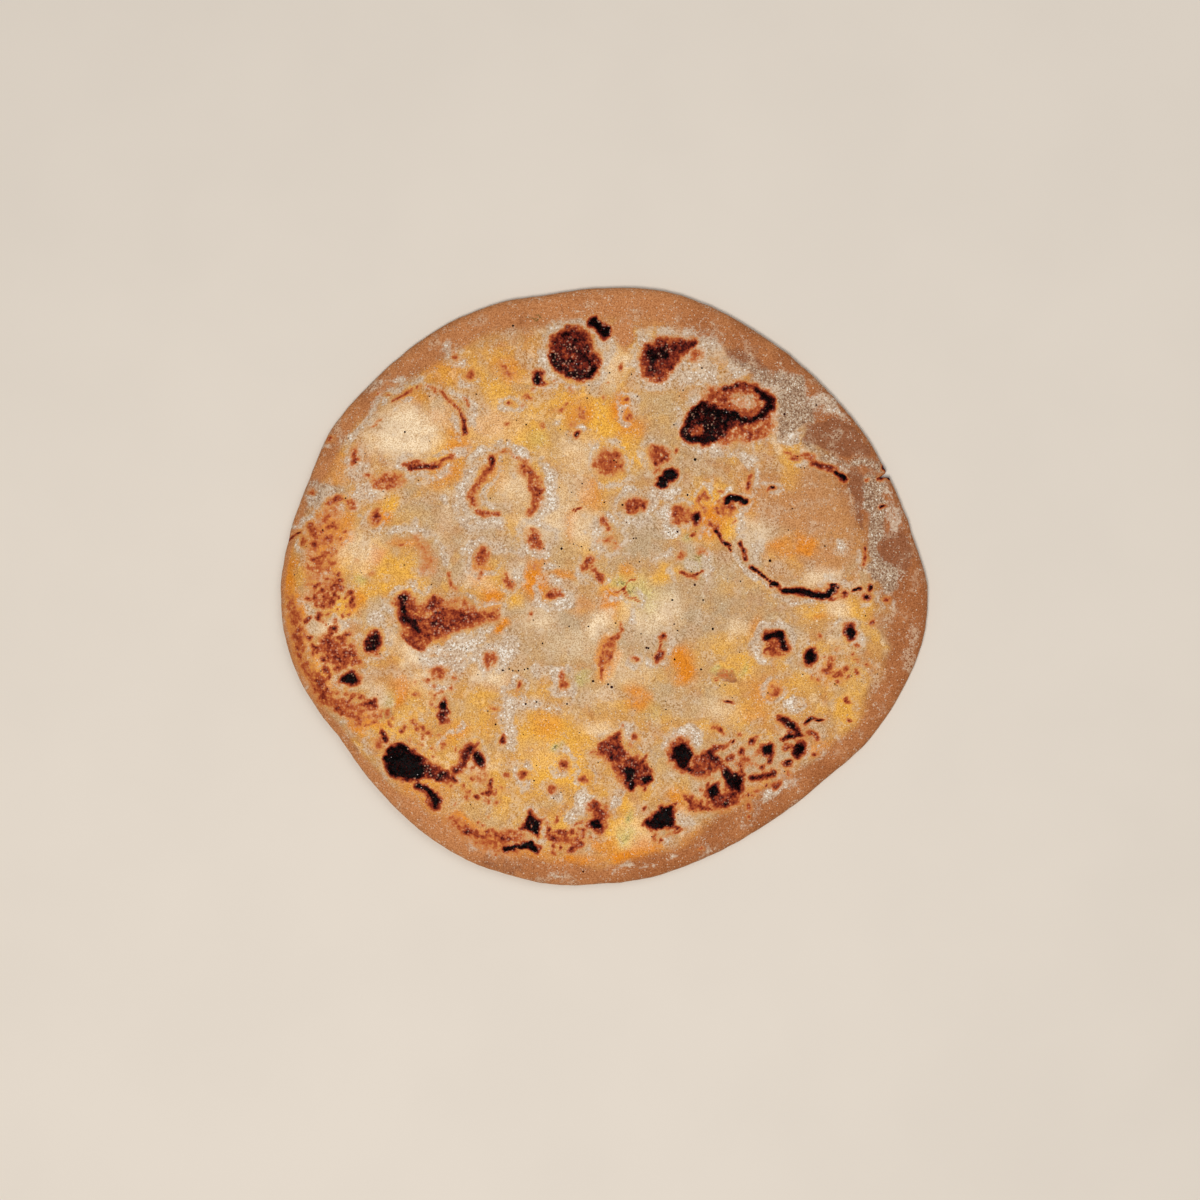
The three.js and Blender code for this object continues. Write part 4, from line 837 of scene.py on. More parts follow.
class Outline:
    """The hand-rolled outline: the solid's largest radius at each sector, with a smooth curve between."""

    def __init__(self):
        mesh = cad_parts[NODE].data
        corners = np.empty(len(mesh.vertices) * 3)
        mesh.vertices.foreach_get("co", corners)
        x, y, _ = corners.reshape(-1, 3).T / MM
        place = np.arctan2(y, x) / (2 * math.pi) * SECTORS
        sector = np.rint(place).astype(int)
        on_sector = np.abs(place - sector) < ON_SECTOR
        self.radii = np.zeros(SECTORS)
        np.maximum.at(self.radii, sector[on_sector] % SECTORS, np.hypot(x, y)[on_sector])

    def radius(self, bearing):
        """Catmull-Rom round the bearing."""
        place = bearing / (2 * math.pi) * SECTORS
        start = np.floor(place).astype(int)
        a, b, c, d = [self.radii[(start + step) % SECTORS] for step in (-1, 0, 1, 2)]
        t = place - start
        return b + 0.5 * t * (c - a + t * (2 * a - 5 * b + 4 * c - d + t * (3 * (b - c) + d - a)))

    def inset(self, x, y):
        """How far inside the outline the points lie, towards the middle."""
        return self.radius(np.arctan2(y, x)) - np.hypot(x, y)


def around(values, bearing):
    """A value given at equal steps round the circle, joined smoothly round the bearing."""
    values = np.array(values, float)
    place = (bearing / (2 * math.pi) * len(values)) % len(values)
    start = np.floor(place).astype(int)
    share = smooth_step(place - start, 0, 1)
    return values[start % len(values)] * (1 - share) + values[(start + 1) % len(values)] * share


def freckles():
    """Small marks strewn over each freckled zone, more of them towards its middle."""
    chance = np.random.default_rng(SEEDS["freckles"])
    found = []
    for middle_x, middle_y, half_length, half_width, turn, number, weakest, strongest in FRECKLE_ZONES:
        cos = math.cos(math.radians(turn))
        sin = math.sin(math.radians(turn))
        for _ in range(number):
            along, across = chance.normal(0, 0.5, 2) * (half_length, half_width)
            x = middle_x + along * cos - across * sin
            y = middle_y + along * sin + across * cos
            half = chance.uniform(*FRECKLE_HALF)
            longer = half * chance.uniform(1, 1.8)
            freckle = (x, y, longer, half, chance.uniform(0, 180), chance.uniform(weakest, strongest))
            found.append(spot_mark(freckle))
    return found


def scorch_fields(x, y, ragged_x, ragged_y):
    """Toast, and flour round the scorches. A faint glow follows each scorch's outline, strongest at low y. A
    broken ring of flour lies outside it, strongest at high y. Gaps are cut into the toast."""
    scorches = marks(TOAST_SPOTS, TOAST_LINES, TOAST_PATCHES) + freckles()
    toast = toasted(ragged_x, ragged_y, scorches)
    ringed = [mark for mark in scorches if mark.strength > RINGED_TOAST]
    distance = nearest(ragged_x, ragged_y, ringed, RING_REACH)
    glow = 1 - smooth_step(distance, -0.4, 0.6 + 1.8 * noise(x, y, 4, SEEDS["halo"] + 7))
    toast = np.maximum(toast, GLOW_TOAST * glow * (0.4 + 0.6 * smooth_step(-y, -20, 20)))
    for gap in marks(TOAST_GAPS):
        edge = min(GAP_SOFTNESS, gap.half)
        inside = gap.within(x, y, edge + gap.half)
        cover = smooth_step(gap.distance(ragged_x[inside], ragged_y[inside]), -edge, edge)
        toast[inside] = np.minimum(toast[inside], gap.strength + 1.1 * cover)
    ring = smooth_step(distance, 0.2, 1.2) * (1 - smooth_step(distance, 1.4, RING_REACH))
    ring = ring * smooth_step(noise(x, y, 5, SEEDS["halo"]), 0.35, 0.7)
    return toast, ring * (0.18 + 0.2 * smooth_step(y, -30, 10))


def skin_fields(x, y, outline):
    """What is on the upper skin, from 0 to 1. Flour is patchy, and thinner on brown dough. The bay counts as
    border."""
    ragged_x, ragged_y = wander(x, y)
    grain, reach = DRIFT
    drifted_x = ragged_x + reach * (noise(x, y, grain, SEEDS["tints"]) - 0.5)
    drifted_y = ragged_y + reach * (noise(x, y, grain, SEEDS["tints"] + 5) - 0.5)
    toast, ring = scorch_fields(x, y, ragged_x, ragged_y)
    lines = FLOUR_LINES + tuple(ring_line(*ring_mark) for ring_mark in FLOUR_RINGS)
    flour = brushed(drifted_x, drifted_y, marks(FLOUR_SPOTS, lines, FLOUR_PATCHES), FLOUR_SOFTNESS)
    flour = flour * (0.4 + 0.75 * smooth_step(noise(x, y, 3, SEEDS["halo"] + 13), 0.25, 0.6))
    dust = brushed(drifted_x, drifted_y, marks(patches=DUST_PATCHES), DUST_SOFTNESS)
    fields = {"toast": toast, "dust": dust}
    for name, spots in FILLING_SPOTS.items():
        fields[name] = brushed(drifted_x, drifted_y, marks(spots), *FILLING_SOFTNESS)
    fields["tan"] = brushed(ragged_x, ragged_y, marks(TAN_SPOTS), *DOUGH_SOFTNESS)
    fields["brown"] = brushed(ragged_x, ragged_y, marks(BROWN_SPOTS, patches=BROWN_PATCHES), *DOUGH_SOFTNESS)
    bay = brushed(ragged_x, ragged_y, marks(BAY_SPOTS), *DOUGH_SOFTNESS)
    fields["flour"] = np.maximum(flour, ring) * (1 - 0.75 * np.maximum(fields["brown"], bay))
    bearing = np.arctan2(y, x)
    width = around(BORDER_TONE_WIDTHS, bearing) * (0.75 + 0.5 * noise(x, y, 9, SEEDS["rim"]))
    border = 1 - smooth_step(outline.inset(x, y), 0.6 * width, 1.3 * width + 0.8)
    fields["border"] = np.maximum(bay, border)
    # Browning of the border by bearing: partly real, partly painted shade
    fields["browned"] = around(BORDER_BROWNING_AND_SHADE, bearing)
    return fields


def skin_height(x, y, outline, fields, sizes):
    """Height of the upper skin: the step from border to filled middle, long waves and blisters, as on the
    solid, with lumps of filling, crusty scorches and flour added, and creases cut in."""
    edge = sizes.edge_thickness / MM
    middle = sizes.middle_thickness / MM
    border = sizes.border_width / MM + BORDER_SHIFT * np.cos(np.arctan2(y, x) - BORDER_BEARING)
    filled = smooth_step(outline.inset(x, y), 0, 1.6 * border)
    waves = np.sin(x / 11 + 1) * np.cos(y / 13) + 0.6 * np.sin((x + 1.4 * y) / 9)
    height = edge + (middle - edge) * filled + SWELL * waves * filled
    for blister in BLISTERS:
        reach = spot_distance(x, y, blister) / math.sqrt(blister[2] * blister[3]) + 1
        height = height + blister[5] * (1 - smooth_step(reach, *BLISTER_SLOPE))
    lumps = 0
    for scale, share in LUMP_LAYERS:
        lumps = lumps + share * (noise(x, y, scale, SEEDS["lumps"] + int(scale), 2) - 0.5)
    height = height + 2 * sizes.lump_height / MM * lumps * (0.35 + 0.65 * filled)
    crackle = 0.5 + noise(x, y, CRACKLE_GRAIN, SEEDS["char"], 2)
    height = height + sizes.crust_height / MM * smooth_step(fields["toast"], *CRUST_TOAST) * crackle
    height = height + FLOUR_RELIEF * fields["flour"] * noise(x, y, 1.0, SEEDS["flour"], 2)
    return height - brushed(*wander(x, y), marks(lines=CREASE_LINES), CREASE_SOFTNESS)


def disc_grid(cells):
    """A square grid bent to a disc of radius 1, row by row: the square's rings become circles, and a place
    along a side becomes an angle, so that all cells have the same area."""
    step = np.linspace(-1, 1, cells + 1)
    across, along = np.meshgrid(step, step)
    wide = np.abs(across) > np.abs(along)
    radius = np.where(wide, across, along)
    share = np.where(wide, along, across) / np.where(radius == 0, 1, radius)
    angle = np.where(wide, share * math.pi / 4, math.pi / 2 - share * math.pi / 4)
    return (radius * np.cos(angle)).ravel(), (radius * np.sin(angle)).ravel()


def grid_cells(cells):
    """The four corners of each cell of such a grid, turning left seen from above."""
    corner = (np.arange(cells)[:, None] * (cells + 1) + np.arange(cells)).ravel()
    return np.column_stack([corner, corner + 1, corner + cells + 2, corner + cells + 1])


def grid_rim(cells):
    """The grid's outermost corners, turning left from the corner at -45 degrees."""
    row = cells + 1
    side = np.arange(cells)
    return np.concatenate([side * row + cells, cells * row + cells - side, (cells - side) * row, side])


def edge_profile():
    """Two quarter rounds: distances in from the outline, and levels, 1 at the skin and 0 at the foot."""
    upper = np.linspace(math.pi / 2, 0, UPPER_ROUND_STEPS + 1)[1:]
    lower = np.linspace(math.pi / 2, 0, LOWER_ROUND_STEPS + 1)[1:]
    insets = np.concatenate([TOP_ROUND * (1 - np.cos(upper)), FOOT_ROUND * (1 - np.sin(lower))])
    above = EDGE_LEVEL + (1 - EDGE_LEVEL) * np.sin(upper)
    return insets, np.concatenate([above, EDGE_LEVEL * (1 - np.cos(lower))])


def new_mesh(name, points, faces, material):
    """A smooth-shaded object from points in mm and lists of faces, each an array of corner numbers."""
    mesh = bpy.data.meshes.new(name)
    mesh.vertices.add(len(points))
    mesh.vertices.foreach_set("co", (np.asarray(points) * MM).astype(np.float32).ravel())
    corners = np.concatenate([face.ravel() for face in faces])
    sizes = np.concatenate([np.full(len(face), face.shape[1]) for face in faces])
    mesh.loops.add(len(corners))
    mesh.loops.foreach_set("vertex_index", corners.astype(np.int32))
    mesh.polygons.add(len(sizes))
    mesh.polygons.foreach_set("loop_start", (np.cumsum(sizes) - sizes).astype(np.int32))
    mesh.update(calc_edges=True)
    if mesh.validate():
        raise RuntimeError(f"{name} has faces that can't be used")
    mesh.shade_smooth()
    mesh.materials.append(material)
    piece = bpy.data.objects.new(name, mesh)
    bpy.context.scene.collection.objects.link(piece)
    return piece


def set_attribute(piece, name, values):
    """Stores one number for each point of the piece."""
    attribute = piece.data.attributes.new(name, "FLOAT", "POINT")
    attribute.data.foreach_set("value", np.asarray(values, np.float32))


def upper_skin(outline, sizes):
    """The bent grid spread to where the edge begins, at the skin's height: points and fields."""
    unit_x, unit_y = disc_grid(TOP_CELLS)
    reach = outline.radius(np.arctan2(unit_y, unit_x)) * (NOMINAL_RADIUS - TOP_ROUND) / NOMINAL_RADIUS
    x = unit_x * reach
    y = unit_y * reach
    fields = skin_fields(x, y, outline)
    return np.column_stack([x, y, skin_height(x, y, outline, fields, sizes)]), fields


def edge_rings(outline, sizes, bearing):
    """The edge, ring by ring, each as points and fields: the profile swept round the outline, with a ripple,
    drawn in at the tear. Its height is the skin's times the level."""
    radius = outline.radius(bearing)
    cos = np.cos(bearing)
    sin = np.sin(bearing)
    uneven = noise(radius * cos, radius * sin, EDGE_RIPPLE_GRAIN, SEEDS["rim"], 4) - 0.5
    from_tear = np.abs((bearing - TEAR_BEARING + math.pi) % (2 * math.pi) - math.pi) * radius
    notch = TEAR_DEPTH * np.clip(1 - from_tear / TEAR_HALF_MOUTH, 0, 1)
    start = radius * (NOMINAL_RADIUS - TOP_ROUND) / NOMINAL_RADIUS
    rings = []
    for inset, level in zip(*edge_profile()):
        reach = start + (radius - notch + EDGE_RIPPLE * uneven - start) * (1 - inset / TOP_ROUND)
        x = reach * cos
        y = reach * sin
        fields = skin_fields(x, y, outline)
        height = level * skin_height(x, y, outline, fields, sizes)
        fields["side"] = np.full(len(x), 1 - level)
        rings.append((np.column_stack([x, y, height]), fields))
    return rings


def underside(outline):
    """A coarser bent grid, flat with shallow hollows, as points and fields: seeded scorches, flour and tints
    that follow noise, and the plain border."""
    unit_x, unit_y = disc_grid(UNDER_CELLS)
    reach = outline.radius(np.arctan2(unit_y, unit_x)) * (NOMINAL_RADIUS - FOOT_ROUND) / NOMINAL_RADIUS - 1
    x = unit_x * reach
    y = unit_y * reach
    rise = smooth_step(noise(x, y, HOLLOW_GRAIN, SEEDS["under"] + 4), 0.35, 0.9)
    inner = 1 - smooth_step(np.hypot(unit_x, unit_y), 0.8, 0.99)
    chance = np.random.default_rng(SEEDS["under"])
    scorches = []
    for _ in range(UNDER_SCORCHES):
        bearing = chance.uniform(0, 2 * math.pi)
        radius = UNDER_SCORCH_REACH * math.sqrt(chance.uniform(0, 1))
        middle = (radius * math.cos(bearing), radius * math.sin(bearing))
        half = chance.uniform(1.2, 6)
        shorter = half * chance.uniform(0.4, 1)
        scorch = (*middle, half, shorter, chance.uniform(0, 180), chance.uniform(0.2, 0.95))
        scorches.append(spot_mark(scorch))
    border = 1 - smooth_step(outline.inset(x, y), *UNDER_BORDER)
    toast = brushed(x, y, scorches, UNDER_SOFTNESS)
    fields = {"toast": toast, "border": border, "side": 0.4 * border, "under": np.ones(len(x))}
    for step, (name, scale, low) in enumerate(UNDER_TINTS):
        level = noise(x, y, scale, SEEDS["under"] + 9 + 5 * step)
        fields[name] = UNDER_TINT_STRENGTH * smooth_step(level, low, low + 0.22)
    return np.column_stack([x, y, HOLLOW_DEPTH * rise * inner]), fields


def bread_faces(rim, ring_count):
    """Faces as corner numbers: the cells of the upper grid, bands between the rings, stitches that join four
    sides of the last ring to one side of the grid below, and that grid's cells, turned over."""
    top_count = (TOP_CELLS + 1) ** 2
    rings = [rim] + [top_count + step * len(rim) + np.arange(len(rim)) for step in range(ring_count)]
    bands = [np.column_stack([inner, outer, np.roll(outer, -1), np.roll(inner, -1)])
             for inner, outer in zip(rings, rings[1:])]
    under_start = top_count + ring_count * len(rim)
    foot = rings[-1].reshape(-1, 4)
    foot = np.column_stack([foot, np.roll(foot[:, 0], -1)])
    below = under_start + grid_rim(UNDER_CELLS)
    after = np.roll(below, -1)
    stitches = [np.column_stack(corners) for corners in (
        (foot[:, 0], below, foot[:, 1]), (foot[:, 1], below, foot[:, 2]), (foot[:, 2], below, after),
        (foot[:, 2], after, foot[:, 3]), (foot[:, 3], after, foot[:, 4]))]
    under_cells = grid_cells(UNDER_CELLS)[:, ::-1] + under_start
    return [grid_cells(TOP_CELLS), *bands, *stitches, under_cells]


def bake_map(faces, bearing, ring_count):
    """Each face corner on the bake's map: its place on its disc. On the stitches, the underside's rim lies
    just outside the edge."""
    top_unit = np.column_stack(disc_grid(TOP_CELLS))
    under_unit = np.column_stack(disc_grid(UNDER_CELLS))
    edge_unit = np.column_stack([np.cos(bearing), np.sin(bearing)])
    spread = np.linspace(TOP_MAP_RADIUS, EDGE_MAP_RADIUS, ring_count + 1)[1:]
    rings = [radius * edge_unit for radius in spread]
    upper_map = np.concatenate([TOP_MAP_RADIUS * top_unit, *rings, STITCH_MAP_RADIUS * under_unit])
    upper_map = upper_map + STITCH_MAP_RADIUS + MAP_MARGIN
    under_map = upper_map.copy()
    middle = 1 - UNDER_MAP_RADIUS - MAP_MARGIN
    under_map[-len(under_unit):] = middle + UNDER_MAP_RADIUS * under_unit * (-1, 1)
    corner_map = [upper_map[face.ravel()] for face in faces[:-1]] + [under_map[faces[-1].ravel()]]
    return np.concatenate(corner_map)


def bread_surface(outline, sizes):
    """Upper skin, edge and underside: points, faces, each face corner on the bake's map, and the fields, 0
    where a part has none."""
    unit_x, unit_y = disc_grid(TOP_CELLS)
    rim = grid_rim(TOP_CELLS)
    bearing = np.arctan2(unit_y[rim], unit_x[rim])
    rings = edge_rings(outline, sizes, bearing)
    parts = [upper_skin(outline, sizes), *rings, underside(outline)]
    points = np.concatenate([part_points for part_points, _ in parts])
    fields = {}
    for name in (*rings[0][1], "under"):
        values = [part_fields.get(name, np.zeros(len(part_points))) for part_points, part_fields in parts]
        fields[name] = np.concatenate(values)
    faces = bread_faces(rim, len(rings))
    return points, faces, bake_map(faces, bearing, len(rings)), fields


class Paint:
    """A node material. All its textures read Object coordinates."""

    def __init__(self, name):
        self.colours = bpy.context.scene.paratha_colours
        self.material = bpy.data.materials.new(name)
        self.material.use_nodes = True
        self.nodes = self.material.node_tree.nodes
        self.links = self.material.node_tree.links
        self.nodes.clear()
        self.surface = self.nodes.new("ShaderNodeBsdfPrincipled")
        output = self.nodes.new("ShaderNodeOutputMaterial")
        self.links.new(self.surface.outputs["BSDF"], output.inputs["Surface"])
        self.place = self.nodes.new("ShaderNodeTexCoord").outputs["Object"]
        self.made = {}

    def feed(self, socket, value):
        """Links the socket to another, or sets its value. A word is the name of a colour setting."""
        if isinstance(value, str):
            value = getattr(self.colours, value)
        if isinstance(value, bpy.types.NodeSocket):
            self.links.new(value, socket)
        elif hasattr(value, "__len__") and len(socket.default_value) == 4:
            socket.default_value = (*value, 1)
        else:
            socket.default_value = value

    def maths(self, operation, first, second=0.0, clamp=False):
        """One step of arithmetic."""
        node = self.nodes.new("ShaderNodeMath")
        node.operation = operation
        node.use_clamp = clamp
        self.feed(node.inputs[0], first)
        self.feed(node.inputs[1], second)
        return node.outputs[0]

    def add(self, first, second):
        """The sum."""
        return self.maths("ADD", first, second)

    def less(self, first, second, clamp=False):
        """The first less the second."""
        return self.maths("SUBTRACT", first, second, clamp)

    def times(self, first, second, clamp=False):
        """The product."""
        return self.maths("MULTIPLY", first, second, clamp)

    def ease(self, value, low, high, top=1.0):
        """0 below low and top above high, with a smooth step between."""
        node = self.nodes.new("ShaderNodeMapRange")
        node.interpolation_type = "SMOOTHSTEP"
        for socket, number in zip(node.inputs, (value, low, high, 0.0, top)):
            self.feed(socket, number)
        return node.outputs[0]

    def field(self, name):
        """A number stored on the mesh. Each is read once."""
        if name not in self.made:
            node = self.nodes.new("ShaderNodeAttribute")
            node.attribute_name = name
            self.made[name] = node.outputs["Fac"]
        return self.made[name]

    def grain(self, millimetres, seed, detail=1.0):
        """Noise of that grain size, from 0 to 1 around 0.5. Each is made once."""
        kind = (millimetres, seed, detail)
        if kind not in self.made:
            node = self.nodes.new("ShaderNodeTexNoise")
            node.noise_dimensions = "4D"
            self.feed(node.inputs["Vector"], self.place)
            self.feed(node.inputs["W"], seed)
            self.feed(node.inputs["Scale"], 1 / (millimetres * MM))
            self.feed(node.inputs["Detail"], detail)
            self.made[kind] = node.outputs["Fac"]
        return self.made[kind]

    def swing(self, kind, strength):
        """The noise around 0, times the strength."""
        return self.times(self.less(self.grain(*kind), 0.5), strength)

    def flecks(self, spacing, radius, share, seed, strength):
        """Round flecks of that radius in mm, in a share of a Voronoi pattern's cells, spacing mm wide."""
        shift = self.nodes.new("ShaderNodeMapping")
        self.feed(shift.inputs["Vector"], self.place)
        shift.inputs["Location"].default_value = (0.37 * seed, 0.23 * seed, 0.11 * seed)
        cells = self.nodes.new("ShaderNodeTexVoronoi")
        self.feed(cells.inputs["Vector"], shift.outputs[0])
        self.feed(cells.inputs["Scale"], 1 / (spacing * MM))
        chosen = self.maths("LESS_THAN", cells.outputs["Color"], share)
        ratio = radius / spacing
        spot = self.less(strength, self.ease(cells.outputs["Distance"], 0.5 * ratio, ratio, strength))
        return self.times(spot, chosen)

    def ridges(self, millimetres, seed, width):
        """Thin curving ridges: 1 where noise of that grain size crosses 0.5, and 0 where it is width off."""
        off = self.maths("ABSOLUTE", self.less(self.grain(millimetres, seed, 2.0), 0.5))
        return self.less(1.0, self.ease(off, 0.2 * width, width))

    def mix(self, factor, first, second, blend="MIX"):
        """Lays the second colour over the first."""
        node = self.nodes.new("ShaderNodeMix")
        node.data_type = "RGBA"
        node.blend_type = blend
        self.feed(node.inputs["Factor"], factor)
        self.feed(node.inputs[6], first)
        self.feed(node.inputs[7], second)
        return node.outputs[2]

    def shaded(self, tone, factors):
        """The colour with its red, green and blue multiplied."""
        return self.mix(1.0, tone, factors, "MULTIPLY")

    def ramp(self, value, stops):
        """Colours along a value: pairs of place and colour name."""
        node = self.nodes.new("ShaderNodeValToRGB")
        self.feed(node.inputs[0], value)
        elements = node.color_ramp.elements
        while len(elements) < len(stops):
            elements.new(1.0)
        for element, (place, name) in zip(elements, stops):
            element.position = place
            element.color = (*getattr(self.colours, name), 1)
        return node.outputs["Color"]

    def bump(self, height, millimetres, before=None):
        """Relief of that depth, from a height between 0 and 1."""
        node = self.nodes.new("ShaderNodeBump")
        node.inputs["Strength"].default_value = 1.0
        node.inputs["Distance"].default_value = millimetres * MM
        self.feed(node.inputs["Height"], height)
        if before is not None:
            self.feed(node.inputs["Normal"], before)
        return node.outputs["Normal"]

    def finish(self, tone, normal, specular):
        """Sets the colour, the relief and the shine of the surface."""
        self.feed(self.surface.inputs["Base Color"], tone)
        self.feed(self.surface.inputs["Normal"], normal)
        self.surface.inputs["Specular IOR Level"].default_value = specular
        return self.material


# Noises of the dough: grain in mm, seed, and detail
FINE = (0.5, 1.0, 3.0)
MEDIUM = (0.8, 2.0, 1.0)
COARSE = (2.6, 3.0, 2.0)
MOTTLE = (8.0, 4.0, 1.0)
WARMTH = (4.5, 5.0, 2.0)
GRIT = (0.36, 6.0, 1.0)
SAND = (0.3, 30.0, 0.0)
BLUSHES = (3.6, 40.0, 3.0)
ROUGH_PLACES = (5.0, 20.0, 5.0)
FLOURY_PLACES = (1.5, 10.0)
FLOUR_CLOUDS = (2.2, 21.0, 2.0)
DUST_CLOUDS = (2.4, 24.0, 4.0)
TOAST_CLOUDS = (1.3, 4.0, 3.0)
UNDER_CLOUDS = (5.0, 50.0, 5.0)
FLAKE_AND_HIGHLIGHT_PLACES = (5.0, 12.0, 4.0)

# Tints of the bare skin: noise, levels where the tint begins and is full, strength, and colour
SKIN_TINTS = (
    (MOTTLE, 0.5, 0.62, 0.6, "grey"),
    (WARMTH, 0.53, 0.62, 0.5, "yellow"),
    (COARSE, 0.56, 0.66, 0.5, "cream"),
    (BLUSHES, 0.51, 0.64, 0.6, "blush"),
)

# Red, green and blue of the skin are multiplied by these
SAND_SHADE = (0.77, 0.68, 0.59)
SAND_LIGHT = (1.12, 1.13, 1.15)
HOLLOW_SHADE = (0.64, 0.53, 0.43)
PRICK_SHADE = (0.45, 0.32, 0.24)
GRAIN_SHADE = (0.7, 0.66, 0.62)

# Flecks: spacing and radius in mm, share of the cells that have one, seed, and strength
PRICKS = (0.9, 0.16, 0.3, 2.0, 0.8)
# GLINTS are painted highlights: pale glint flecks laid over the skin
GLINTS = ((0.7, 0.19, 0.45, 0.0, 0.7), (1.5, 0.25, 0.3, 5.0, 0.8))
FLOUR_HOLES = (0.85, 0.32, 0.4, 17.0, 0.75)
FLOUR_FLAKES = (0.75, 0.3, 0.55, 19.0, 0.85)
# Pale flecks on toast: partly skin flakes, partly painted highlights
SKIN_FLAKES_AND_HIGHLIGHTS = ((0.8, 0.34, 0.45, 7.0, 0.7), (0.6, 0.28, 0.35, 9.0, 0.6))
# Painted highlights: glint points on black char
CHAR_GLINTS = (1.1, 0.17, 0.2, 15.0, 0.8)

# Ridges: grain in mm, seed, and width as a share of the noise
WRINKLES = (1.5, 9.0, 0.03)
SPLITS = (2.4, 33.0, 0.035)
FOLDS = (3.2, 11.0, 0.012)

# Colours along the depth of toast, and along the dust's grain
TOAST_STAGES = ((0.13, "amber"), (0.34, "rust"), (0.58, "dark"), (0.8, "maroon"), (0.98, "black"))
DUST_STAGES = ((0.38, "flour_pits"), (0.5, "flour_shade"), (0.58, "flour_film"), (0.7, "flour"))

SKIN_ROUGHNESS = 0.52
DUST_ROUGHNESS = 0.9
CHAR_ROUGHNESS = 0.34
DULL = 0.02  # specular level of everything on the bread
SKIN_RELIEF = 0.1  # in mm


def skin_tone(paint, filling):
    """Skin with its soft tints, the filling under it, tan dough where there is none, the border, brown dough
    and the edge's side."""
    tone = "skin"
    for kind, low, high, strength, name in SKIN_TINTS:
        cover = paint.ease(paint.grain(*kind), low, high, strength)
        tone = paint.mix(cover, tone, name)
    patchy = paint.add(paint.times(paint.grain(*COARSE), 2.4), 0.15)
    for name in FILLING_SPOTS:
        cover = paint.times(patchy, paint.field(name), clamp=True)
        tone = paint.mix(cover, tone, name)
    bare = paint.ease(paint.field("tan"), 0.0, 1.0, 0.9)
    tone = paint.mix(paint.less(bare, paint.times(filling, 0.8), clamp=True), tone, "tan")
    # The border's browning, partly painted shade
    browned = paint.add(paint.field("browned"), paint.swing(MOTTLE, 1.0))
    border = paint.mix(paint.ease(browned, 0.1, 0.7), "border", "browned")
    tone = paint.mix(paint.ease(paint.field("border"), 0.05, 0.95), tone, border)
    brown = paint.add(paint.field("brown"), paint.swing(COARSE, 0.8))
    tone = paint.mix(paint.ease(brown, 0.25, 0.75, 0.95), tone, "brown")
    return paint.mix(paint.ease(paint.field("side"), 0.25, 0.9, 0.85), tone, "side")


def grained(paint, tone, filling, grit):
    """Smooth skin in some places and rough in others, with pricks, painted glints, wrinkles, cracks and
    folds.
    """
    flour = paint.field("flour")
    sand = paint.ease(paint.grain(*SAND), 0.36, 0.6)
    clear = paint.mix(sand, paint.shaded(tone, SAND_SHADE), paint.shaded(tone, SAND_LIGHT))
    worked = paint.mix(0.6, tone, "fuzz")
    fuzz = paint.mix(paint.ease(grit, 0.4, 0.54), paint.shaded(tone, HOLLOW_SHADE), worked)
    rough = paint.add(paint.grain(*ROUGH_PLACES), paint.times(flour, 0.3))
    rough = paint.less(rough, paint.times(paint.field("border"), 0.08))
    rough = paint.less(rough, paint.times(filling, 0.18))
    tone = paint.mix(paint.ease(rough, 0.46, 0.6, 0.85), clear, fuzz)
    pricked = paint.shaded(tone, PRICK_SHADE)
    tone = paint.mix(paint.flecks(*PRICKS), tone, pricked)
    # Painted highlights: glint flecks in a paler copy of the skin's colour
    glint = paint.mix(0.65, tone, "glint")
    for flecks in GLINTS:
        tone = paint.mix(paint.flecks(*flecks), tone, glint)
    floury = paint.ease(paint.add(paint.grain(*FLOURY_PLACES), paint.times(flour, 0.4)), 0.5, 0.75, 0.6)
    tone = paint.mix(paint.times(paint.ridges(*WRINKLES), floury), tone, "flour_wrinkle")
    herbs = paint.ease(paint.field("green"), 0.25, 0.8, 0.85)
    tone = paint.mix(paint.times(paint.ridges(*SPLITS), herbs), tone, "crack")
    folded = paint.ease(paint.grain(*WARMTH), 0.48, 0.62, 0.4)
    return paint.mix(paint.times(paint.ridges(*FOLDS), folded), tone, pricked)


def floured(paint, tone, grit):
    """Flour in clouds: a pale veil where it is thin, and white where it is thick, with holes and flakes."""
    flour = paint.field("flour")
    clouds = paint.add(paint.swing(MEDIUM, 0.8), paint.swing(FLOUR_CLOUDS, 1.2))
    spread = paint.add(flour, paint.times(clouds, paint.times(flour, 3.0, clamp=True)))
    veil = paint.mix(paint.ease(grit, 0.4, 0.54), "flour_dip", "flour_veil")
    tone = paint.mix(paint.ease(spread, 0.06, 0.4, 0.75), tone, veil)
    white = paint.mix(paint.ease(grit, 0.45, 0.55), "flour_film", "flour")
    tone = paint.mix(paint.ease(spread, 0.5, 1.0, 0.75), tone, white)
    thick = paint.ease(spread, 0.12, 0.5)
    tone = paint.mix(paint.times(paint.flecks(*FLOUR_HOLES), thick), tone, "flour_shade")
    return paint.mix(paint.times(paint.flecks(*FLOUR_FLAKES), thick), tone, "flour")


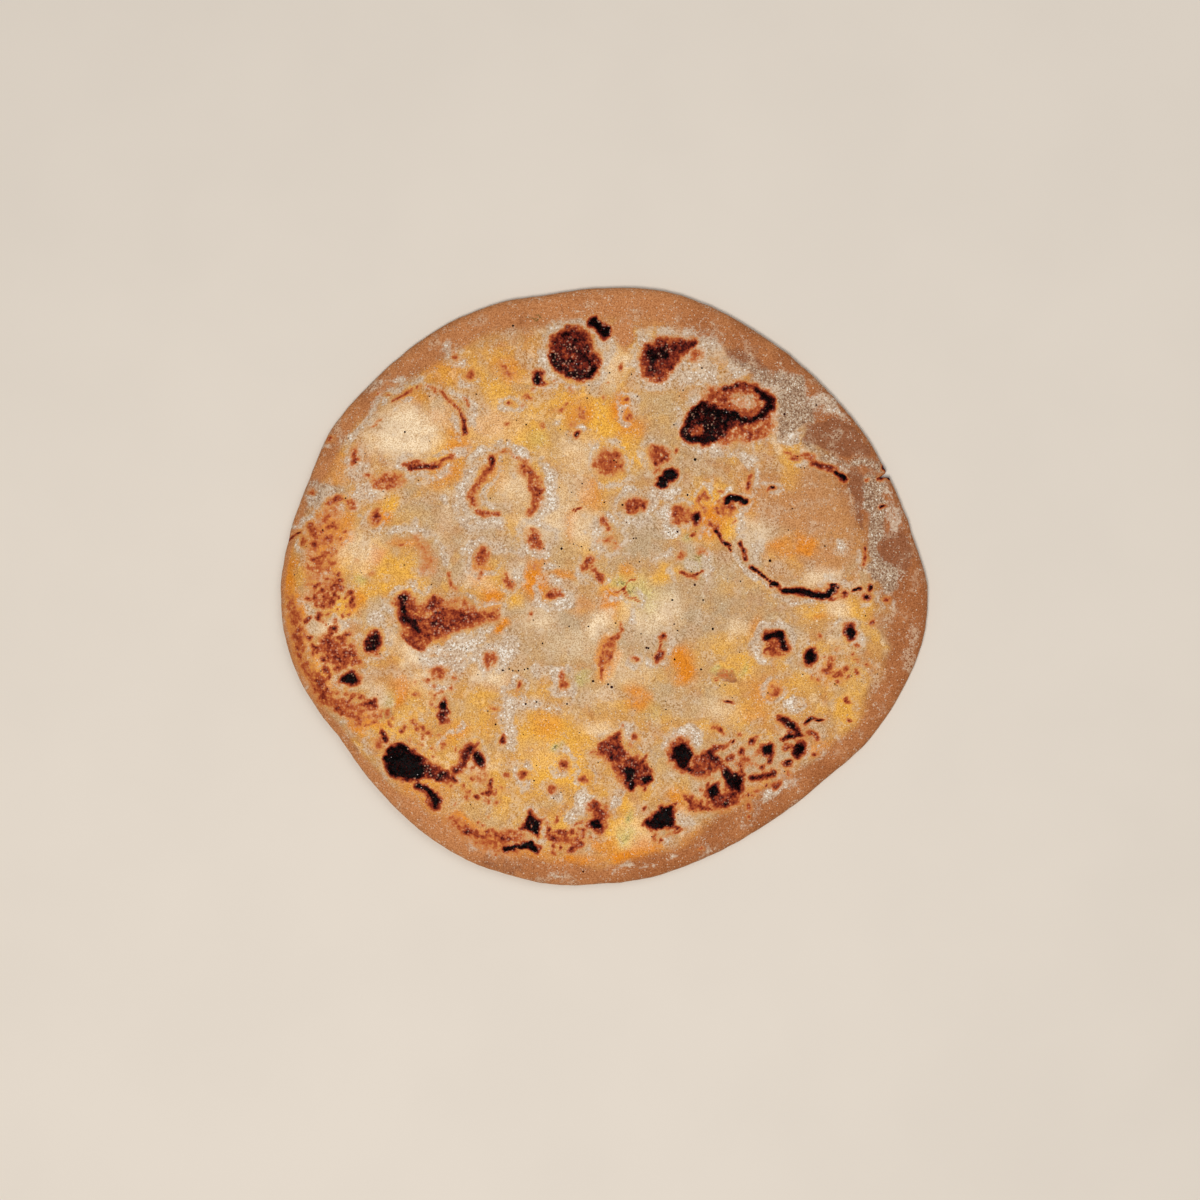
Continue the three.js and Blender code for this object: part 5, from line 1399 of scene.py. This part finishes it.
def scorched(paint, tone):
    """Toast, and its depth. Its edge breaks up into grain, and into clouds on the underside. Pale skin
    flakes, partly painted highlights, lie on it in places, and black char has painted glints."""
    toast = paint.field("toast")
    present = paint.times(toast, 2.2, clamp=True)
    coarse = paint.times(paint.grain(*TOAST_CLOUDS), 1.35)
    grain = paint.add(paint.times(paint.grain(*FINE), 0.85), coarse)
    clouds = paint.times(paint.field("under"), paint.times(present, 3.0))
    clouds = paint.times(clouds, paint.less(paint.grain(*UNDER_CLOUDS), 0.54))
    depth = paint.add(paint.add(toast, clouds), paint.times(paint.less(grain, 1.1), present))
    char = paint.ramp(depth, TOAST_STAGES)
    tone = paint.mix(paint.ease(depth, 0.0, 0.3), tone, char)
    # Pale flecks on the toast, partly painted highlights
    flake_and_highlight_cover = paint.ease(paint.grain(*FLAKE_AND_HIGHLIGHT_PLACES), 0.42, 0.58)
    flake_and_highlight_cover = paint.times(paint.less(flake_and_highlight_cover, paint.ease(depth, 0.85, 1.15)), present, clamp=True)
    flakes = paint.maths("MAXIMUM", *[paint.flecks(*flecks) for flecks in SKIN_FLAKES_AND_HIGHLIGHTS])
    tone = paint.mix(paint.times(flakes, flake_and_highlight_cover), tone, paint.mix(0.7, tone, "peach"))
    # Painted glints on the black char
    char_glints = paint.times(paint.flecks(*CHAR_GLINTS), paint.ease(depth, 0.7, 0.9))
    return paint.mix(char_glints, tone, "char_glint"), depth


def dough_material():
    """Griddled dough, from the bottom up: skin, grain, flour, dust and toast."""
    paint = Paint("griddled dough")
    fine = paint.grain(*FINE)
    medium = paint.grain(*MEDIUM)
    grit = paint.add(paint.times(paint.grain(*GRIT), 0.7), paint.times(medium, 0.3))
    filling = paint.add(paint.field("yellow"), paint.field("orange"))
    tone = skin_tone(paint, filling)
    tone = grained(paint, tone, filling, grit)
    tone = floured(paint, tone, grit)

    # Dust: grey grains with brown pits
    dust = paint.field("dust")
    clouds = paint.times(paint.swing(DUST_CLOUDS, 1.0), paint.times(dust, 2.4))
    film = paint.ease(paint.add(dust, clouds), 0.1, 0.75, 0.93)
    tone = paint.mix(film, tone, paint.ramp(grit, DUST_STAGES))
    tone, depth = scorched(paint, tone)

    gloss = paint.mix(film, (SKIN_ROUGHNESS,) * 3, (DUST_ROUGHNESS,) * 3)
    gloss = paint.mix(paint.ease(depth, 0.6, 1.0), gloss, (CHAR_ROUGHNESS,) * 3)
    paint.feed(paint.surface.inputs["Roughness"], gloss)
    grainy = paint.add(paint.times(film, 0.9), paint.ease(depth, 0.3, 0.9))
    grainy = paint.times(fine, paint.add(grainy, 0.25))
    normal = paint.bump(grainy, SKIN_RELIEF, paint.bump(medium, SKIN_RELIEF))
    return paint.finish(tone, normal, DULL)


def grain_material(name, first, second, roughness):
    """Loose grains in two shades, with a fine mottle on each."""
    paint = Paint(name)
    shade = paint.mix(paint.field("shade"), first, second)
    mottle = paint.ease(paint.grain(0.12, 1.0), 0.3, 0.7, 0.3)
    shade = paint.mix(mottle, shade, paint.shaded(shade, GRAIN_SHADE))
    paint.surface.inputs["Roughness"].default_value = roughness
    return paint.finish(shade, paint.bump(paint.grain(0.1, 2.0), 0.02), DULL)


def turned(count, chance):
    """Random turns as matrices, from unit quaternions."""
    w, x, y, z = np.moveaxis(chance.normal(size=(count, 4)), 1, 0)
    size = np.sqrt(w * w + x * x + y * y + z * z)
    w, x, y, z = w / size, x / size, y / size, z / size
    rows = (1 - 2 * (y * y + z * z), 2 * (x * y - w * z), 2 * (x * z + w * y),
            2 * (x * y + w * z), 1 - 2 * (x * x + z * z), 2 * (y * z - w * x),
            2 * (x * z - w * y), 2 * (y * z + w * x), 1 - 2 * (x * x + y * y))
    return np.stack(rows, axis=1).reshape(-1, 3, 3)


def copies(corners, faces, middles, stretch, turns):
    """One small solid repeated: its corners stretched, turned and moved to each middle."""
    points = corners[None] * stretch[:, None, :]
    points = np.einsum("nij,nkj->nki", turns, points) + middles[:, None, :]
    numbers = faces[None] + np.arange(len(middles))[:, None, None] * len(corners)
    return points.reshape(-1, 3), numbers.reshape(-1, 3)


def octahedron():
    """Six points on the axes and the eight faces between them."""
    corners = np.array([(1, 0, 0), (0, 1, 0), (-1, 0, 0), (0, -1, 0), (0, 0, 1), (0, 0, -1)], float)
    upper = [(k, (k + 1) % 4, 4) for k in range(4)]
    lower = [((k + 1) % 4, k, 5) for k in range(4)]
    return corners, np.array(upper + lower)


def dome():
    """A closed low dome of radius 1: a top point, two rings of eight and a point below."""
    angle = np.arange(8) / 8 * 2 * math.pi
    rings = [np.column_stack([radius * np.cos(angle), radius * np.sin(angle), np.full(8, height)])
             for radius, height in ((0.6, 0.42), (1.0, 0.0))]
    corners = np.concatenate([[(0, 0, 0.6)], *rings, [(0, 0, -0.5)]])
    faces = []
    for k in range(8):
        after = (k + 1) % 8
        faces += [(0, 1 + k, 1 + after), (1 + k, 9 + k, 9 + after), (1 + k, 9 + after, 1 + after),
                  (9 + k, 17, 9 + after)]
    return corners, np.array(faces)


SCATTER_TRIES = 20000  # places that are tried at a time
GRAIN_SPREAD = 0.3  # how uneven the grains' sizes are
GRAIN_RISE = 0.25  # height of a grain's middle over the skin, as a share of its radius


def scatter(chance, count, weight_of, outline):
    """Random places on the upper skin: evenly spread ones, kept with a chance equal to their weight."""
    found = []
    total = 0
    while total < count:
        bearing = chance.uniform(0, 2 * math.pi, SCATTER_TRIES)
        radius = np.sqrt(chance.uniform(0, 1, SCATTER_TRIES)) * (outline.radius(bearing) - TOP_ROUND)
        x = radius * np.cos(bearing)
        y = radius * np.sin(bearing)
        kept = chance.uniform(0, 1, len(x)) < weight_of(skin_fields(x, y, outline))
        found.append(np.column_stack([x, y])[kept])
        total += kept.sum()
    return np.concatenate(found)[:count]


def grains(name, seed, count, weight_of, size, material, sizes):
    """Loose grains: octahedra of uneven size and turn, sunk a little into the upper skin."""
    outline = Outline()
    chance = np.random.default_rng(seed)
    x, y = scatter(chance, count, weight_of, outline).T
    radius = size * chance.lognormal(0, GRAIN_SPREAD, len(x)).clip(0.5, 2)
    z = skin_height(x, y, outline, skin_fields(x, y, outline), sizes) + GRAIN_RISE * radius
    stretch = radius[:, None] * chance.uniform(0.7, 1.3, (len(x), 3))
    corners, faces = octahedron()
    points, numbers = copies(corners, faces, np.column_stack([x, y, z]), stretch, turned(len(x), chance))
    piece = new_mesh(name, points, [numbers], material)
    piece.data.shade_flat()
    set_attribute(piece, "shade", np.repeat(chance.uniform(0, 1, len(x)), len(corners)))
    return piece


def burnt_specks(sizes, material):
    """Low domes on the upper skin: the pin dots, and loose ones anywhere but on the border."""
    outline = Outline()
    chance = np.random.default_rng(SEEDS["specks"])
    loose = scatter(chance, sizes.loose_specks, lambda fields: 0.5 * (fields["border"] < 0.5), outline)
    placed = np.array(PIN_DOTS)
    x, y = np.concatenate([placed[:, :2], loose]).T
    radius = np.concatenate([placed[:, 2], chance.uniform(0.12, 0.22, len(loose))])
    z = skin_height(x, y, outline, skin_fields(x, y, outline), sizes)
    stretch = radius[:, None] * chance.uniform(0.8, 1.2, (len(x), 3))
    corners, faces = dome()
    upright = np.broadcast_to(np.eye(3), (len(x), 3, 3))
    points, numbers = copies(corners, faces, np.column_stack([x, y, z]), stretch, upright)
    piece = new_mesh("burnt_specks", points, [numbers], material)
    set_attribute(piece, "shade", np.repeat(chance.uniform(0, 1, len(x)), len(corners)))
    return piece


class PARATHA_OT_bread(bpy.types.Operator):
    """Make the bread in place of the CAD solid"""

    bl_idname = "paratha.bread"
    bl_label = "Bread"

    def execute(self, context):
        """Builds the surface, stores its fields and its map, and gives it its dough."""
        points, faces, corner_map, fields = bread_surface(Outline(), context.scene.paratha_sizes)
        piece = new_mesh("bread", points, faces, dough_material())
        for name, values in fields.items():
            set_attribute(piece, name, values)
        layer = piece.data.uv_layers.new(name="OFBake")
        layer.data.foreach_set("uv", corner_map.astype(np.float32).ravel())
        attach(piece, "root")
        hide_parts(NODE)
        return {"FINISHED"}


class PARATHA_OT_flour(bpy.types.Operator):
    """Dust the bread with loose clumps of flour"""

    bl_idname = "paratha.flour"
    bl_label = "Loose flour"

    def execute(self, context):
        """Scatters clumps where the flour lies thick, and a few everywhere but on the toast."""
        sizes = context.scene.paratha_sizes
        material = grain_material("flour", "flour_veil", "fuzz", 0.9)

        def weight_of(fields):
            return (0.02 + 0.35 * fields["flour"]) * (1 - smooth_step(fields["toast"], 0.1, 0.4))

        size = sizes.flour_size / MM
        piece = grains("flour_grains", SEEDS["flour"], sizes.flour_grains, weight_of, size, material, sizes)
        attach(piece, "root")
        return {"FINISHED"}


class PARATHA_OT_char(bpy.types.Operator):
    """Add burnt granules and pin dots"""

    bl_idname = "paratha.char"
    bl_label = "Burnt granules and specks"

    def execute(self, context):
        """Scatters glossy granules on the black scorches, and sets low domes for the pin dots."""
        sizes = context.scene.paratha_sizes
        material = grain_material("glossy char", "black", "maroon", 0.35)

        def weight_of(fields):
            return smooth_step(fields["toast"], 0.72, 0.95)

        size = sizes.char_size / MM
        piece = grains("char_grains", SEEDS["char"], sizes.char_grains, weight_of, size, material, sizes)
        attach(piece, "root")

        specks = burnt_specks(sizes, grain_material("burnt specks", "black", "maroon", 0.5))
        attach(specks, "root")
        return {"FINISHED"}


CAMERA_FOCUS = (-0.001, -0.003, 0.004)  # the middle of the view, at the height of the upper skin
VIEW_WIDTH = 0.3  # metres across the view at that height
LENS = 85.0
SENSOR = 36.0
NEAREST_SEEN = 0.01  # metres
FLOOR_HALF = 2000.0  # mm
FLOOR_COLOUR = (0.66, 0.59, 0.51)
LIGHTS = (
    # name, place, width, watts, colour
    ("key light", (-0.15, -0.25, 0.93), 0.35, 6.6, (1.0, 0.98, 0.95)),
    ("fill light", (0.5, 0.45, 0.9), 0.8, 3.5, (0.96, 0.98, 1.0)),
)
SURROUND_COLOUR = (0.95, 0.97, 1.0, 1.0)
SURROUND_STRENGTH = 0.28


def floor_material():
    """A pale matte floor with a faint mottle."""
    paint = Paint("pale floor")
    mottle = paint.ease(paint.grain(40.0, 1.0, 3.0), 0.3, 0.7, 0.5)
    paler = tuple(min(1.0, 1.05 * part) for part in FLOOR_COLOUR)
    paint.feed(paint.surface.inputs["Base Color"], paint.mix(mottle, FLOOR_COLOUR, paler))
    paint.surface.inputs["Roughness"].default_value = 0.6
    paint.surface.inputs["Specular IOR Level"].default_value = 0.2
    return paint.material


def add_lights(scene):
    """Round soft lights that face the origin, and a pale surround."""
    for name, place, width, watts, shade in LIGHTS:
        lamp = bpy.data.lights.new(name, "AREA")
        lamp.shape = "DISK"
        lamp.size = width
        lamp.energy = watts
        lamp.color = shade
        holder = bpy.data.objects.new(name, lamp)
        holder.location = place
        holder.rotation_euler = (-Vector(place)).to_track_quat("-Z", "Y").to_euler()
        scene.collection.objects.link(holder)
    world = bpy.data.worlds.new("surround")
    world.use_nodes = True
    background = world.node_tree.nodes["Background"]
    background.inputs["Color"].default_value = SURROUND_COLOUR
    background.inputs["Strength"].default_value = SURROUND_STRENGTH
    scene.world = world
    scene.view_settings.view_transform = "Standard"


def add_camera(scene):
    """A camera that looks straight down, as far up as its lens needs to see the view's width."""
    lens = bpy.data.cameras.new("camera")
    lens.lens = LENS
    lens.sensor_width = SENSOR
    lens.clip_start = NEAREST_SEEN
    camera = bpy.data.objects.new("camera", lens)
    camera.location = Vector(CAMERA_FOCUS) + Vector((0, 0, VIEW_WIDTH * LENS / SENSOR))
    scene.collection.objects.link(camera)
    bpy.context.scene.camera = camera


class PARATHA_OT_stage(bpy.types.Operator):
    """Set out the floor, the lights and the camera"""

    bl_idname = "paratha.stage"
    bl_label = "Stage"

    def execute(self, context):
        """A wide floor at the foot of the bread, then the lights and the camera."""
        corners = FLOOR_HALF * np.array([(-1, -1, 0), (1, -1, 0), (1, 1, 0), (-1, 1, 0)])
        floor = new_mesh("floor", corners, [np.array([(0, 1, 2, 3)])], floor_material())
        add_lights(context.scene)
        add_camera(context.scene)
        return {"FINISHED"}


class PARATHA_PT_panel(bpy.types.Panel):
    """Sizes, colours and steps of the stuffed paratha"""

    bl_idname = "PARATHA_PT_panel"
    bl_label = "Stuffed paratha"
    bl_space_type = "VIEW_3D"
    bl_region_type = "UI"
    bl_category = "Paratha"

    def draw(self, context):
        """Lists every setting, then a button for each step."""
        for group in (context.scene.paratha_sizes, context.scene.paratha_colours):
            box = self.layout.box()
            for name in group.bl_rna.properties.keys():
                if name not in ("rna_type", "name"):
                    box.prop(group, name)
        for operator in OPERATORS:
            self.layout.operator(operator.bl_idname)


OPERATORS = (PARATHA_OT_bread, PARATHA_OT_flour, PARATHA_OT_char, PARATHA_OT_stage)
CLASSES = (BreadSizes, BreadColours, *OPERATORS, PARATHA_PT_panel)


def register():
    """Registers the classes and puts the settings on the scene."""
    for kind in CLASSES:
        bpy.utils.register_class(kind)
    bpy.types.Scene.paratha_sizes = bpy.props.PointerProperty(type=BreadSizes)
    bpy.types.Scene.paratha_colours = bpy.props.PointerProperty(type=BreadColours)


def unregister():
    """Takes the settings and the classes away again."""
    del bpy.types.Scene.paratha_colours
    del bpy.types.Scene.paratha_sizes
    for kind in reversed(CLASSES):
        bpy.utils.unregister_class(kind)


def main():
    """Makes everything in order."""
    register()
    bpy.ops.paratha.bread()
    bpy.ops.paratha.flour()
    bpy.ops.paratha.char()
    bpy.ops.paratha.stage()


if __name__ == "__main__":
    main()
